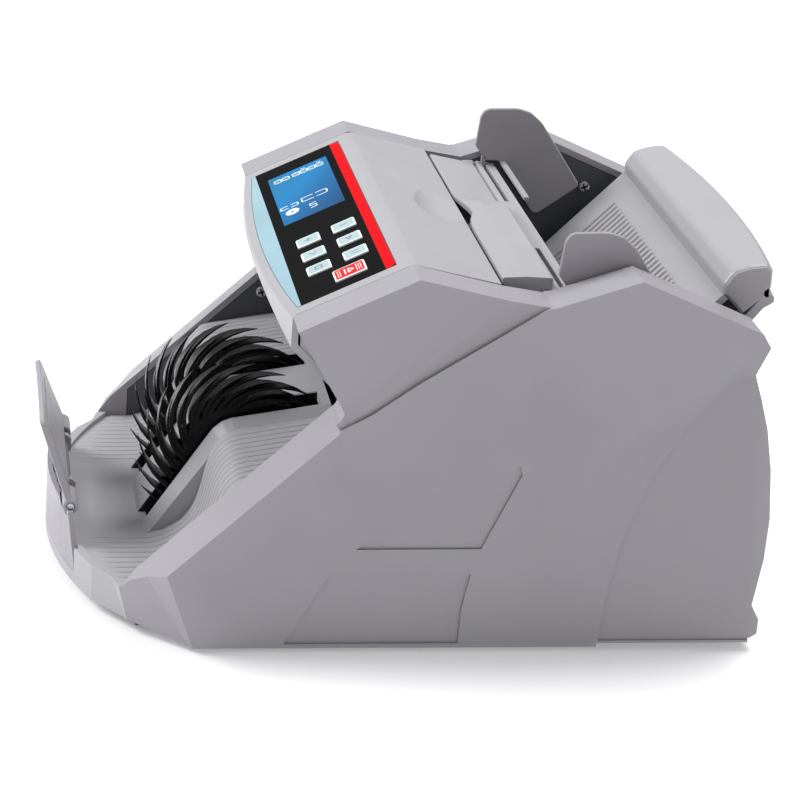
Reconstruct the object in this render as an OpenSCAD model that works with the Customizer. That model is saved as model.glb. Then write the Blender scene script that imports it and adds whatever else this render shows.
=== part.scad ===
// Desktop banknote counting machine.
// Friction-feed hopper at the rear, keypad console in the middle, finger-wheel stacker at the front.
// X runs across the machine, the operator stands on the -Y side, Z is up from the table.

/* [Overall] */
// Full width across both side covers
body_width = 240; // [230:1:250]
// Width of each side cover, from its outer face to the seam with the middle parts
rim_width = 21; // [18:1:24]
// Wall of the moulded covers
wall = 3; // [2.5:0.25:3.5]
// Gap left between parts that do not touch
gap = 0.3; // [0.2:0.05:0.5]
// Height of the rubber feet under the covers
foot_height = 2; // [1:0.5:3]
// How far the drop of the wing's top goes from its inner to its outer edge
wing_drop = 5; // [3:0.5:7]

/* [Console] */
// Radius of the bow of the console's front edge, seen from above
bow_radius = 757; // [700:1:900]
// Thickness of the printed panel film and its carrier
panel_film = 0.8; // [0.6:0.1:1.2]
// Half width of the printed panel
panel_half = 91.5; // [88:0.5:93]
// Size of the display window across and along the slope
lcd_size = [70, 30]; // [20:1:80]
// Size of a small key across and along the slope
key_size = [10, 11]; // [6:0.5:14]
// Distance between key rows across the machine
key_pitch = 18.5; // [15:0.5:20]

/* [Stacker] */
// Outer radius of the finger wheels
wheel_radius = 43.5; // [38:0.5:44]
// Distance of each finger wheel from the middle
wheel_offset = 25; // [22:0.5:30]
// Width of a slot for a finger wheel
slot_width = 15; // [12:0.5:18]
// Number of fingers on a wheel
finger_count = 18; // [12:1:24]
// Thickness of a finger
finger_thickness = 1.2; // [0.8:0.1:2]
// Width of a finger wheel
finger_width = 10; // [6:0.5:12]

/* [Drive] */
// Diameter of the roller shafts
shaft_diameter = 8; // [6:0.5:10]
// Radial running clearance of shafts in bushings
run_clearance = 0.05; // [0.02:0.01:0.1]
// Radius of the feed rollers
feed_radius = 20; // [16:0.5:22]
// Radius of the pick-up rollers
pickup_radius = 14; // [12:0.5:16]
// Radius of the transport rollers
transport_radius = 15; // [12:0.5:16]
// Radius of the pinch rollers over them
pinch_radius = 11; // [8:0.5:12]
// Radius of the retard rollers over the feed rollers
retard_radius = 12; // [10:0.5:13]
// Thickness of the drive belts
belt_thickness = 1.2; // [0.8:0.1:2]

/* [Hopper] */
// Distance of each side guide plate from the middle, fully open
guide_offset = 96; // [90:0.5:97]
// Thickness of a guide plate
guide_thickness = 2.6; // [2:0.2:3]
// Number of ribs on the hopper tray
tray_ribs = 29; // [15:2:35]

/* [Hidden] */
half = body_width / 2;
seam = half - rim_width;
shell_grey = [0.66, 0.66, 0.69];
light_grey = [0.75, 0.75, 0.77];
dark_grey = [0.25, 0.25, 0.27];
black = [0.07, 0.07, 0.08];
steel = [0.62, 0.63, 0.65];
rubber = [0.16, 0.16, 0.17];
red = [0.75, 0.1, 0.12];
blue = [0.1, 0.45, 0.85];
green = [0.08, 0.35, 0.2];
white = [0.85, 0.85, 0.82];
brass = [0.72, 0.6, 0.32];

// Shift that puts the middle of the machine's length over the origin
centre_shift = 9.67;

// Outline of a side cover: underside, nose, wing, console, hopper, rear.
// The wing's top lies lower by the drop, which is 0 at the inner seam.
function side_outline(drop) = [
  [-104, 0], [-130, 3.5], [-133, 8], [-133, 19], [-127, 27.4 - drop], [-46.6, 103.6 - drop],
  [-45.2, 106.5], [-47.5, 111], [-66.5, 142], [-18, 165.5], [19.4, 157.3], [38, 154.5],
  [74.5, 167], [128.5, 145], [132.5, 139], [127.4, 127], [131.5, 115.7], [135.9, 102],
  [139.6, 83.7], [142.2, 60.4], [142, 41.5], [139.4, 19.9], [139.4, 1.8], [71.5, 1.8], [71.5, 0]
];
// Heel that stands out at the bottom of the rear
heel_outline = [[139, 20], [143.3, 12.5], [143.3, 5.5], [137, 1.8], [130, 1.8], [130, 20]];

// Unit vector square to the way from p to q, on its left
function leftward(p, q) = [p[1] - q[1], q[0] - p[0]] / norm(q - p);

// A clockwise outline drawn in by t
function drawn_in(path, t) = [
  for (i = [0:len(path) - 1])
    let(
      n = len(path),
      before = leftward(path[(i + n - 1) % n], path[i]),
      after = leftward(path[i], path[(i + 1) % n])
    ) path[i] - t * (before + after) / (1 + before * after)
];
// Raised console side above the wing: the part of the outer face that is set in
console_side = [
  [-75, 150], [-49, 98.2], [-33.9, 107], [-15.1, 121], [8.7, 136.6], [32.4, 152.2], [52.4, 163],
  [52.4, 175], [-20, 180]
];

// Console slope: its front corner, its angle and its local frame
slope_front = [-66.5, 142];
slope_rear = [-18, 165.5];
slope_angle = atan2(slope_rear[1] - slope_front[1], slope_rear[0] - slope_front[0]);
// Position of a panel item on the slope
lcd_centre = [-43.6, 24.4];
key_rows = [17.2, 34];
key_first = 22.5;
start_centre = [77.3, 28.8];
start_size = [12.5, 14.5];

// Shaft positions as [Y, Z]
stacker_at = [-80, 50];
feed_at = [46, 82];
pickup_at = [94.9, 109];
transport_at = [0, 80];
pinch_at = [0, 106.4];
retard_at = [40, 114.6];
retard_pivot = [16, 126];
motor_at = [36, 30];
screw_at = [31, 0];
flap_axis = [41.5, 151.6];
stop_axis = [-152.5, 34];

// Pulley radii
motor_pulley_r = 8;
feed_main_r = 16;
feed_pickup_r = 12;
pickup_pulley_r = 12;
feed_line_r = 10;
transport_pulley_r = 7;
stacker_pulley_r = 8;
// Belt planes along X
plane_main = 105.4;
plane_pickup = 109.6;
plane_line = 95.4;
belt_width = 3;

// Hopper tray slope
tray_angle = 46;
tray_top = [118.2, 151.7];
tray_half = 90;

roller_x = [-30, 30];
transport_x = [-68, -30, 30, 68];

// ---- helpers ----

// Puts design coordinates into the finished frame
module placed() {
  translate([0, centre_shift, foot_height])
    children();
}

// Extrudes a [Y, Z] outline along X
module yz(x0, x1) {
  translate([x0, 0, 0])
    rotate([90, 0, 90])
      linear_extrude(x1 - x0)
        children();
}

// Round bar along X
module bar_x(at, r, x0, x1) {
  translate([x0, at[0], at[1]])
    rotate([0, 90, 0])
      cylinder(r = r, h = x1 - x0, $fn = 64);
}

// Moves children onto the console slope: X across, Y up the slope, Z out of it
module on_slope() {
  translate([0, slope_front[0], slope_front[1]])
    rotate([slope_angle, 0, 0])
      children();
}

// Moves children onto the tray slope, origin at its top crease, Y up the slope
module on_tray() {
  translate([0, tray_top[0], tray_top[1]])
    rotate([tray_angle, 0, 0])
      children();
}

module block(low, high) {
  translate(low)
    cube(high - low);
}

// Solid bounded in front by the bow of the console, as seen from above
module bowed(reach, radius) {
  translate([0, reach + radius, -20])
    cylinder(r = radius, h = 240, $fn = 128);
}

// Solid bounded behind by the bow of the hopper bar
module bowed_rear(reach, radius) {
  translate([0, reach - radius, 100])
    cylinder(r = radius, h = 90, $fn = 128);
}

// Loop of belt around a list of [[Y, Z], radius]
module belt_loop(stops, plane) {
  yz(plane - belt_width / 2, plane + belt_width / 2)
    difference() {
      hull()
        for (s = stops)
          translate(s[0])
            circle(r = s[1] + 0.05 + belt_thickness, $fn = 48);
      hull()
        for (s = stops)
          translate(s[0])
            circle(r = s[1] + 0.05, $fn = 48);
    }
}

// Flat pulley with two flanges
module pulley(at, r, plane) {
  bar_x(at, r, plane - 1.9, plane + 1.9);
  bar_x(at, r + 2, plane - 1.9, plane - 1.6);
  bar_x(at, r + 2, plane + 1.6, plane + 1.9);
}

module bored(at, r, x0, x1) {
  difference() {
    children();
    bar_x(at, r, x0, x1);
  }
}

// Roller on a shaft, bored through
module roller_set(at, r, list, width) {
  for (x = list)
    difference() {
      bar_x(at, r, x - width / 2, x + width / 2);
      bar_x(at, shaft_diameter / 2, x - width, x + width);
    }
}

// ---- housing ----

// Front corner of a side cover, cut back towards the outside and leaning inwards at its foot
module corner_cut(back) {
  hull() {
    yz(seam - 0.5, seam - 0.49)
      polygon([[-170, -4], [-128.4 + back, -4], [-144.9 + back, 62], [-170, 62]]);
    yz(half + 0.01, half + 0.02)
      polygon([[-170, -4], [-101.8 + back, -4], [-125.6 + back, 62], [-170, 62]]);
  }
}

module screw_bosses() {
  for (s = screw_list)
    difference() {
      bar_x(s, 4, seam + 2.8, half - 2);
      bar_x(s, 1.65, seam, seam + 7);
    }
}

module side_cover() {
  difference() {
    yz(seam, half) {
      polygon(side_outline(0));
      polygon(heel_outline);
    }
    // seat of the frame plate
    difference() {
      yz(seam - 1, seam + 2.8)
        polygon(drawn_in(side_outline(0), wall));
      block([seam - 2, -140, -2], [half, -119, 34]);
    }
    // hollow behind it, open towards the middle, with a closed front corner
    difference() {
      yz(seam, half - wall)
        polygon(drawn_in(side_outline(wing_drop), wall));
      corner_cut(1.4 * wall);
      block([seam - 2, -140, -2], [half, -100, 30]);
    }
    // drop of the wing's top face towards the outside
    hull() {
      yz(seam, seam + 0.01)
        polygon([[-140, 15.08], [-46.6, 103.6], [-60, 118], [-150, 40]]);
      yz(half, half + 0.01)
        polygon([[-140, 15.08 - wing_drop], [-46.6, 103.6 - wing_drop], [-60, 118], [-150, 40]]);
    }
    // front corner cut back towards the outside, seen from above
    corner_cut(0);
    // console side set in above the wing
    yz(half - 1.5, half + 1)
      polygon(console_side);
    // styling reliefs on the outer face
    yz(half - 1, half + 1)
      polygon([[-36.6, 46], [16.9, 46.4], [31.7, 80.5], [30.5, 84.5], [5.3, 77.3], [-19, 62.5]]);
    yz(half - 1, half + 1)
      polygon([[-64.8, 2], [-47.1, 34.6], [13.4, 34.6], [10.6, 18], [10.4, 2]]);
    yz(half - 0.8, half + 1)
      polygon([
        [72, 3], [73.4, 22.4], [77.8, 50.8], [87, 78.7], [101.5, 104], [114.8, 120], [122, 126],
        [150, 126], [150, 3]
      ]);
  }
}

module side_cover_right() {
  color(shell_grey)
    placed() {
      side_cover();
      screw_bosses();
    }
}

module side_cover_left() {
  color(shell_grey)
    placed()
      mirror([1, 0, 0]) {
        side_cover();
        screw_bosses();
      }
}

bore_list = [stacker_at, feed_at, pickup_at, transport_at, pinch_at];
screw_list = [[-55.3, 83.4], [100.9, 141.2], [110, 60], [-20, 20]];

module side_frame() {
  difference() {
    yz(seam, seam + 2.5)
      polygon(drawn_in(side_outline(0), wall + gap));
    // clear of the side cover's front corner
    block([seam - 1, -140, -2], [half, -119 + gap, 34 + gap]);
    for (b = bore_list)
      bar_x(b, 6, seam - 1, seam + 4);
    bar_x(retard_pivot, 3, seam - 1, seam + 4);
    bar_x(motor_at, 9, seam - 1, seam + 4);
    for (s = screw_list)
      bar_x(s, 1.7, seam - 1, seam + 4);
  }
}

module side_frame_right() {
  color(dark_grey)
    placed()
      side_frame();
}

module side_frame_left() {
  color(dark_grey)
    placed()
      mirror([1, 0, 0])
        side_frame();
}

module frame_screw(at) {
  difference() {
    union() {
      bar_x(at, 3, seam - 1.9, seam);
      bar_x(at, 1.6, seam - 0.5, seam + 6);
    }
    // cross recess
    translate([seam - 2, at[0], at[1]])
      cube([1.6, 3.4, 0.8], center = true);
    translate([seam - 2, at[0], at[1]])
      cube([1.6, 0.8, 3.4], center = true);
  }
}

module frame_screws() {
  color(steel)
    placed()
      for (side = [0, 1])
        mirror([side, 0, 0])
          for (s = screw_list)
            frame_screw(s);
}

module base_pan() {
  color(dark_grey)
    placed()
      difference() {
        union() {
          block([-seam + gap, -126, 0.5], [seam - gap, 128, 2.5]);
          // side flanges against the frames
          block([-seam + gap, -100, 2], [-seam + gap + 2, 125, 12]);
          block([seam - gap - 2, -100, 2], [seam - gap, 125, 12]);
        }
        // cooling slots
        for (i = [0:6])
          block([-60 + i * 20, 60, -1], [-56 + i * 20, 100, 4]);
      }
}

module feet() {
  color(rubber)
    for (x = [-80, 80])
      for (y = [-95, 105])
        translate([x, y + centre_shift, 0])
          difference() {
            cylinder(r = 9, h = foot_height + 0.5, $fn = 48);
            translate([0, 0, -1])
              cylinder(r = 3.5, h = 2, $fn = 32);
          }
}

// Wall of the nose, which also seats the skirt of the stop
nose_wall = 4.6;

// Plan of the nose: bowed front between the side covers
module nose_plan(inset_by) {
  translate([0, -161 + inset_by + 190, 0])
    circle(r = 190, $fn = 128);
}

module nose_block(inset_by, z0, z1, back) {
  translate([0, 0, z0])
    linear_extrude(z1 - z0)
      intersection() {
        nose_plan(inset_by);
        translate([-seam + gap, -170])
          square([2 * (seam - gap), 170 + back]);
      }
}

module nose_fascia() {
  color(light_grey)
    placed()
      difference() {
        nose_block(0, 2.8, 19, -128);
        nose_block(nose_wall, 1, 30, -110);
        // ends that lean inwards like the side covers' corners
        for (side = [0, 1])
          mirror([side, 0, 0])
            hull() {
              yz(78, 78.01)
                polygon([[-170, -3], [-144.4, -3], [-144.4, 40], [-170, 40]]);
              yz(seam, seam + 0.01)
                polygon([[-170, -3], [-128.1, -3], [-138.9, 40], [-170, 40]]);
            }
        // opening behind the fold-down stop
        difference() {
          block([-61, -170, 8], [61, -120, 30]);
          nose_block(2.5, 0, 40, -120);
        }
      }
}

// Knuckles of the stop plate on its pin: middle and length of each
knuckle_at = 42.1;
knuckle_length = 15.8;
knuckle_r = 3.4;
stop_pin_r = 1.5;
stop_thickness = 2.6;
stop_lean = 20;

// Outer skirt of the stop, standing on the nose, with two ears for the pin
module stop_skirt() {
  color(shell_grey)
    placed()
      difference() {
        union() {
          difference() {
            intersection() {
              nose_block(0, 8.3, 34, -145);
              translate([0, -140, 0])
                rotate([90, 0, 0])
                  linear_extrude(30)
                    polygon([
                      [-60.7, 0], [60.7, 0], [60.7, 12], [51.5, 34.5], [-51.5, 34.5], [-60.7, 12]
                    ]);
            }
            nose_block(2.2, 0, 60, -130);
          }
          for (s = [-1, 1])
            translate([s * 25.4, 0, 0])
              yz(-1.8, 1.8)
                polygon([
                  [-157.8, 19.4], [-157.8, 31], [-155.9, 33.4], [-155.6, 35.4], [-154.2, 37],
                  [-152.5, 37.4], [-150.8, 37], [-149.4, 35.4], [-149.4, 30]
                ]);
        }
        // room for the knuckles of the plate
        for (s = [-1, 1])
          translate([s * knuckle_at, stop_axis[0], stop_axis[1]])
            rotate([0, 90, 0])
              cylinder(r = knuckle_r + 0.8, h = knuckle_length + 1.6, center = true, $fn = 48);
        bar_x(stop_axis, stop_pin_r + run_clearance, -70, 70);
      }
}

// Fold-down plate that squares the front of the stack
module stop_plate() {
  color(shell_grey)
    placed()
      translate([0, stop_axis[0], stop_axis[1]])
        rotate([stop_lean, 0, 0])
          difference() {
            union() {
              rotate([90, 0, 0])
                linear_extrude(stop_thickness, center = true)
                  polygon([
                    [-51, 0], [-38, 36.4], [-35, 38.6], [-28, 38.2], [-20, 36.8], [20, 36.8], [28, 38.2],
                    [35, 38.6], [38, 36.4], [51, 0], [34, 0], [34, 3.8], [-34, 3.8], [-34, 0]
                  ]);
              // knuckles on the pin
              for (s = [-1, 1])
                translate([s * knuckle_at, 0, 0])
                  rotate([0, 90, 0])
                    cylinder(r = knuckle_r, h = knuckle_length, center = true, $fn = 48);
            }
            bar_x([0, 0], stop_pin_r + run_clearance, -70, 70);
          }
}

module stop_pin() {
  color(steel)
    placed()
      bar_x(stop_axis, stop_pin_r, -50, 50);
}

// Side parts of the stacker floor: floor, rise, plateau
deck_side = [
  [-134, 17], [-118, 17.2], [-107, 21.5], [-100.5, 27], [-96, 36], [-93, 50], [-89.5, 60],
  [-84, 65.6], [-78, 67.2], [-49, 72.4], [-38, 74.2]
];
// Raised middle part that carries the wheel slots
deck_middle = [
  [-121, 16.6], [-118.4, 21], [-94.2, 58.6], [-90, 65], [-86, 68.4], [-82, 69.9], [-38, 77.7]
];

function below(path, t) = concat(
  path, [for (i = [len(path) - 1:-1:0]) path[i] + [0.6 * t, -0.8 * t]]
);

module stacker_deck() {
  color(light_grey)
    placed()
      difference() {
        union() {
          // floor towards the nose
          intersection() {
            yz(-seam + gap, seam - gap)
              polygon([
                [-150, 18], [-134, 17], [-118, 17.2], [-107, 21.5], [-106, 19], [-117.5, 14.8],
                [-133, 14.6], [-150, 15.6]
              ]);
            nose_block(nose_wall + gap, 0, 60, -100);
          }
          intersection() {
            for (x0 = [-seam + gap, 35])
              yz(x0, x0 + seam - gap - 35)
                polygon(below(deck_side, 2.5));
            nose_block(nose_wall + gap, 0, 100, 0);
          }
          // raised middle
          yz(-35, 35)
            polygon(below(deck_middle, 2.5));
          // chamfered flanks of the raised middle
          for (s = [0, 1])
            mirror([s, 0, 0])
              hull() {
                yz(34, 34.1)
                  polygon([
                    [-121, 16.2], [-118.4, 21], [-94.2, 58.6], [-90, 65], [-86, 68.4],
                    [-82, 69.9], [-38, 77.7], [-38, 72], [-80, 60], [-116, 15]
                  ]);
                yz(39.9, 40)
                  polygon([
                    [-117, 16.4], [-93.2, 51.9], [-86.8, 62.6], [-80.8, 66], [-38, 73.9],
                    [-38, 72], [-80, 60], [-112, 17]
                  ]);
              }
        }
        // hollow under the raised middle
        yz(-38, 38)
          polygon([
            [-113, 14], [-92, 52.5], [-84.5, 63.5], [-80, 66], [-37, 73], [-37, 40], [-90, 10]
          ]);
        // room for the wheels' shaft, its pulley and the belt
        bar_x(stacker_at, shaft_diameter / 2 + 1, -60, 60);
        bar_x(stacker_at, stacker_pulley_r + 2.6, 92.8, 98);
        block([92.6, -60, 60], [seam, -30, 80]);
        // slots for the finger wheels
        for (s = [-1, 1])
          block([s * wheel_offset - slot_width / 2, -125, 0],
            [s * wheel_offset + slot_width / 2, -42, 90]);
        // shallow ribs on the floor and on the side plateaus
        for (x = [-92:5:-42])
          block([x, -133, 16.5], [x + 1.2, -118, 30]);
      }
}

// ---- console ----

console_path = [
  [-41.8, 100.5], [-45.4, 107.5], [-75, 136], [-75, 139.2], [-66.5, 142], [-18, 165.5],
  [20.2, 157.6], [20.2, 150], [-16, 150], [-39, 100.5]
];
console_inner = [
  [-40.6, 104.6], [-42.9, 109.3], [-71, 137.2], [-71, 138.4], [-65.3, 139.4], [-17.7, 162.6],
  [24, 154], [24, 140], [-16, 140], [-35, 95]
];

module key_hole(x, s, size, extra) {
  translate([x - size[0] / 2 - extra, s - size[1] / 2 - extra, -8])
    cube([size[0] + 2 * extra, size[1] + 2 * extra, 16]);
}

module key_openings(extra) {
  for (i = [0:2])
    for (s = key_rows)
      key_hole(key_first + i * key_pitch, s, key_size, extra);
  key_hole(start_centre[0], start_centre[1], start_size, extra);
  key_hole(lcd_centre[0], lcd_centre[1], lcd_size, extra);
}

module console_cover() {
  color(light_grey)
    placed()
      difference() {
        intersection() {
          yz(-seam + gap, seam - gap)
            polygon(console_path);
          bowed(-73, bow_radius);
        }
        intersection() {
          yz(-seam + gap + 2.4, seam - gap - 2.4)
            polygon(console_inner);
          bowed(-70, bow_radius);
        }
        // seat of the printed panel
        intersection() {
          on_slope()
            block([-panel_half - 0.2, -8, -panel_film], [panel_half + 0.2, 47.8, 6]);
          bowed(-69.4, bow_radius);
        }
        on_slope()
          key_openings(0.2);
        // finger recess in front of the flap
        translate([5, 14, 166])
          scale([1, 0.62, 0.5])
            sphere(r = 17, $fn = 48);
      }
}

module panel_overlay() {
  color(black)
    placed()
      difference() {
        intersection() {
          on_slope()
            block([-panel_half, -8, -panel_film], [panel_half, 47.5, 0]);
          bowed(-69.2, bow_radius);
        }
        on_slope()
          key_openings(0.15);
      }
}

module display_module() {
  color(blue)
    placed()
      on_slope() {
        translate([lcd_centre[0], lcd_centre[1], -2.5])
          cube([lcd_size[0], lcd_size[1], 4.7], center = true);
        translate([lcd_centre[0], lcd_centre[1], -6.5])
          cube([lcd_size[0] + 6, lcd_size[1] + 4, 3], center = true);
      }
}

module key_cap(x, s, size) {
  placed()
    on_slope() {
      translate([x, s, -1])
        cube([size[0], size[1], 3.6], center = true);
      // plunger down to the switch
      translate([x, s, -3.4])
        cube([4, 4, 1.4], center = true);
    }
}

module key_1() {
  color(shell_grey)
    key_cap(key_first, key_rows[0], key_size);
}

module key_2() {
  color(shell_grey)
    key_cap(key_first + key_pitch, key_rows[0], key_size);
}

module key_3() {
  color(shell_grey)
    key_cap(key_first + 2 * key_pitch, key_rows[0], key_size);
}

module key_4() {
  color(shell_grey)
    key_cap(key_first, key_rows[1], key_size);
}

module key_5() {
  color(shell_grey)
    key_cap(key_first + key_pitch, key_rows[1], key_size);
}

module key_6() {
  color(shell_grey)
    key_cap(key_first + 2 * key_pitch, key_rows[1], key_size);
}

module key_start() {
  color(red)
    key_cap(start_centre[0], start_centre[1], start_size);
}

module keypad_board() {
  color(green)
    placed()
      on_slope() {
        block([8, 6, -9.6], [90, 44, -8]);
        // tact switches under the keys
        for (i = [0:2])
          for (s = key_rows)
            translate([key_first + i * key_pitch, s, -6.5])
              cube([6, 6, 3], center = true);
        translate([start_centre[0], start_centre[1], -6.5])
          cube([6, 6, 3], center = true);
      }
}

// ---- hopper front ----

flap_half = 92.3;

module jam_flap() {
  color(shell_grey)
    placed() {
      difference() {
        union() {
          // sheet with a bevelled lip towards the front
          yz(-flap_half, flap_half)
            polygon([[21.4, 157.6], [43.2, 153.4], [43.2, 151], [23, 154.8], [21.4, 155.4]]);
          // raised near half, level instead of sloping back
          yz(-22, flap_half)
            polygon([[21.4, 158.3], [32, 158.8], [43.2, 158.6], [43.2, 151], [23, 154.8]]);
          yz(-34, -22)
            polygon([[21.4, 157.8], [32, 157.3], [43.2, 156], [43.2, 151], [23, 154.8]]);
          // hinge lugs
          for (s = [-1, 1])
            translate([s * 88, 0, 0])
              yz(-4.3, 4.3)
                polygon([[38.5, 154.2], [43.2, 153.2], [43.2, 150.4], [41.5, 149.8], [38.5, 151]]);
          for (s = [-1, 1])
            translate([s * 93.8, flap_axis[0], flap_axis[1]])
              rotate([0, 90, 0])
                cylinder(r = 1.5, h = 3.4, center = true, $fn = 32);
        }
        // finger notch in the front edge
        translate([2, 17.6, 150])
          scale([3.4, 1, 1])
            cylinder(r = 6.5, h = 12, $fn = 48);
      }
    }
}

module hopper_bridge() {
  color(light_grey)
    placed()
      difference() {
        union() {
          // rail across the top, tray under the flap, front wall of the hopper
          yz(-seam + gap, seam - gap)
            polygon([
              [21, 145.5], [43.7, 143.5], [43.7, 150.9], [46, 152.9], [54.6, 151.4], [54.6, 108],
              [52.8, 108],
              [52.8, 141], [21, 143]
            ]);
          // ears that carry the flap
          for (s = [-1, 1])
            translate([s * 95.4, 0, 0])
              yz(-2.6, 2.6)
                polygon([[36, 144], [36, 150], [39, 153.2], [43.9, 153.2], [43.9, 143.5]]);
        }
        for (s = [-1, 1])
          translate([s * 93.8, flap_axis[0], flap_axis[1]])
            rotate([0, 90, 0])
              cylinder(r = 1.5 + run_clearance, h = 8, center = true, $fn = 32);
        // bore of the thickness screw
        translate([0, screw_at[0], 135])
          cylinder(r = 2.5 + run_clearance, h = 20, $fn = 48);
        // openings over the retard rollers
        for (x = roller_x)
          block([x - 11, 50, 100], [x + 11, 56, 130]);
        // slots of the side guides
        block([-98, 47.6, 144], [-34, 50, 160]);
        block([34, 47.6, 144], [98, 50, 160]);
      }
}

// Knurled knob on a screw that sets the gap to the retard rollers
module adjust_screw() {
  color(white)
    placed()
      translate([0, screw_at[0], 0]) {
        difference() {
          translate([0, 0, 145.5])
            cylinder(r = 7, h = 5.5, $fn = 64);
          for (a = [0:20:340])
            rotate([0, 0, a])
              translate([7.2, 0, 145])
                cylinder(r = 0.7, h = 7, $fn = 16);
          translate([-6, -0.6, 150])
            cube([12, 1.2, 2]);
        }
        translate([0, 0, 127.8])
          cylinder(r = 2.5, h = 19, $fn = 48);
      }
}

module retard_rod() {
  color(steel)
    placed()
      bar_x(retard_pivot, 2.95, -seam - 2.4, seam + 2.4);
}

module retard_bracket() {
  color(steel)
    placed()
      difference() {
        union() {
          for (x = [-46, -14, 14, 46])
            yz(x - 0.8, x + 0.8)
              polygon([
                [11, 121], [11, 130], [20, 131], [34, 126.5], [45, 119], [45, 110.5], [36, 110],
                [24, 119]
              ]);
          // cross web under the screw
          yz(-46, 46)
            polygon([[22, 125.4], [34, 125.4], [34, 127], [22, 127]]);
          bar_x(retard_at, 2.5, -48, 48);
        }
        bar_x(retard_pivot, 2.95 + run_clearance, -60, 60);
      }
}

module retard_rollers() {
  color(rubber)
    placed()
      for (x = roller_x)
        difference() {
          bar_x(retard_at, retard_radius, x - 8, x + 8);
          bar_x(retard_at, 2.5, x - 12, x + 12);
          // relief for the cross web
          block([x - 9, 20, 125], [x + 9, 34.5, 128]);
        }
}

// Guide plate that squares the notes in the hopper, with its foot in the slot
module guide_plate() {
  yz(guide_offset - guide_thickness / 2, guide_offset + guide_thickness / 2)
    polygon([
      [48.7, 154.2], [47.6, 157], [44.2, 161.5], [45.6, 176], [47.4, 179], [50, 180], [64, 180.6],
      [70.5, 178.6], [76.5, 173.5], [97, 144.2], [97.2, 142], [78.5, 128.2], [75.6, 128], [56, 154.2]
    ]);
}

module guide_right() {
  color(shell_grey)
    placed() {
      guide_plate();
      // foot that runs in the slot of the bridge
      block([guide_offset - 1.3, 47.9, 145], [guide_offset + 1.3, 49.7, 156]);
      block([guide_offset - 20, 47.9, 147], [guide_offset, 49.7, 150]);
    }
}

module guide_left() {
  color(shell_grey)
    placed()
      mirror([1, 0, 0]) {
        guide_plate();
        block([guide_offset - 1.3, 47.9, 145], [guide_offset + 1.3, 49.7, 156]);
        block([guide_offset - 20, 47.9, 147], [guide_offset, 49.7, 150]);
        // visible strip behind the rail
        block([guide_offset - 60, 57, 152.6], [guide_offset, 59.6, 154.2]);
      }
}

// ---- hopper tray ----

bar_profile = [
  [118.2, 151.7], [117.9, 155.5], [119.5, 159.6], [123.5, 163.2], [129, 165], [150, 166.5],
  [150, 152], [139, 153.6], [127.8, 142.8], [119.6, 151.1]
];

module hopper_tray() {
  color(light_grey)
    placed()
      difference() {
        union() {
          on_tray()
            block([-tray_half, -69, -3], [tray_half, 0.5, 0]);
          yz(-tray_half, tray_half)
            polygon([[70.4, 101.9], [66, 100.3], [61.5, 100], [61.5, 98], [67, 98], [73, 100.6]]);
          intersection() {
            yz(-91, 91)
              polygon(bar_profile);
            bowed_rear(146, 608);
          }
          // lugs towards the frames
          for (s = [-1, 1])
            on_tray()
              block([s * 94.2 - 4.3, -30, -9], [s * 94.2 + 4.3, -14, -3.2]);
          for (s = [-1, 1])
            on_tray()
              block([s * 88.2 - 1.7, -30, -9], [s * 88.2 + 1.7, -14, -2]);
        }
        // grooves between the ribs
        for (i = [0:tray_ribs - 1])
          on_tray()
            block([-70 + i * 140 / (tray_ribs - 1) - 1.2, -68, -1], [
              -70 + i * 140 / (tray_ribs - 1) + 1.2, -12, 2
            ]);
        // windows of the pick-up rollers
        for (x = roller_x)
          on_tray()
            block([x - 8, -58, -6], [x + 8, -33, 6]);
      }
}

module tray_rear_shell() {
  color(dark_grey)
    placed()
      intersection() {
        yz(-91, 91)
          polygon([
            [139.1, 153.2], [152, 151.6], [152, 148], [141, 148], [131, 139.4], [128, 130],
            [125.4, 130], [127.9, 142.3]
          ]);
        bowed_rear(147.6, 608);
      }
}

// ---- drive ----

module plain_shaft(at, x1) {
  bar_x(at, shaft_diameter / 2, -seam - 3.4, x1);
}

module pickup_shaft() {
  color(steel)
    placed()
      plain_shaft(pickup_at, 112);
}

module pickup_rollers() {
  color(rubber)
    placed()
      roller_set(pickup_at, pickup_radius, roller_x, 12);
}

module pickup_pulley() {
  color(black)
    placed()
      bored(pickup_at, shaft_diameter / 2, 90, 120)
        pulley(pickup_at, pickup_pulley_r, plane_pickup);
}

module feed_shaft() {
  color(steel)
    placed()
      plain_shaft(feed_at, 112);
}

module feed_rollers() {
  color(rubber)
    placed()
      roller_set(feed_at, feed_radius, roller_x, 16);
}

module feed_pulley() {
  color(black)
    placed()
      bored(feed_at, shaft_diameter / 2, 80, 120) {
        union() {
          pulley(feed_at, feed_main_r, plane_main);
          pulley(feed_at, feed_pickup_r, plane_pickup);
          bar_x(feed_at, 8, plane_main, plane_pickup);
          pulley(feed_at, feed_line_r, plane_line);
        }
      }
}

module transport_shaft() {
  color(steel)
    placed()
      plain_shaft(transport_at, seam + 3.4);
}

module transport_rollers() {
  color(rubber)
    placed()
      roller_set(transport_at, transport_radius, transport_x, 12);
}

module transport_pulley() {
  color(black)
    placed()
      bored(transport_at, shaft_diameter / 2, 80, 120)
        pulley(transport_at, transport_pulley_r, plane_line);
}

module pinch_shaft() {
  color(steel)
    placed()
      plain_shaft(pinch_at, seam + 3.4);
}

module pinch_rollers() {
  color(rubber)
    placed()
      roller_set(pinch_at, pinch_radius, transport_x, 10);
}

module stacker_shaft() {
  color(steel)
    placed()
      plain_shaft(stacker_at, seam + 3.4);
}

module stacker_hubs() {
  color(black)
    placed()
      for (x = [-wheel_offset, wheel_offset])
        difference() {
          bar_x(stacker_at, 12, x - finger_width / 2, x + finger_width / 2);
          bar_x(stacker_at, shaft_diameter / 2, x - 12, x + 12);
        }
}

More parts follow.
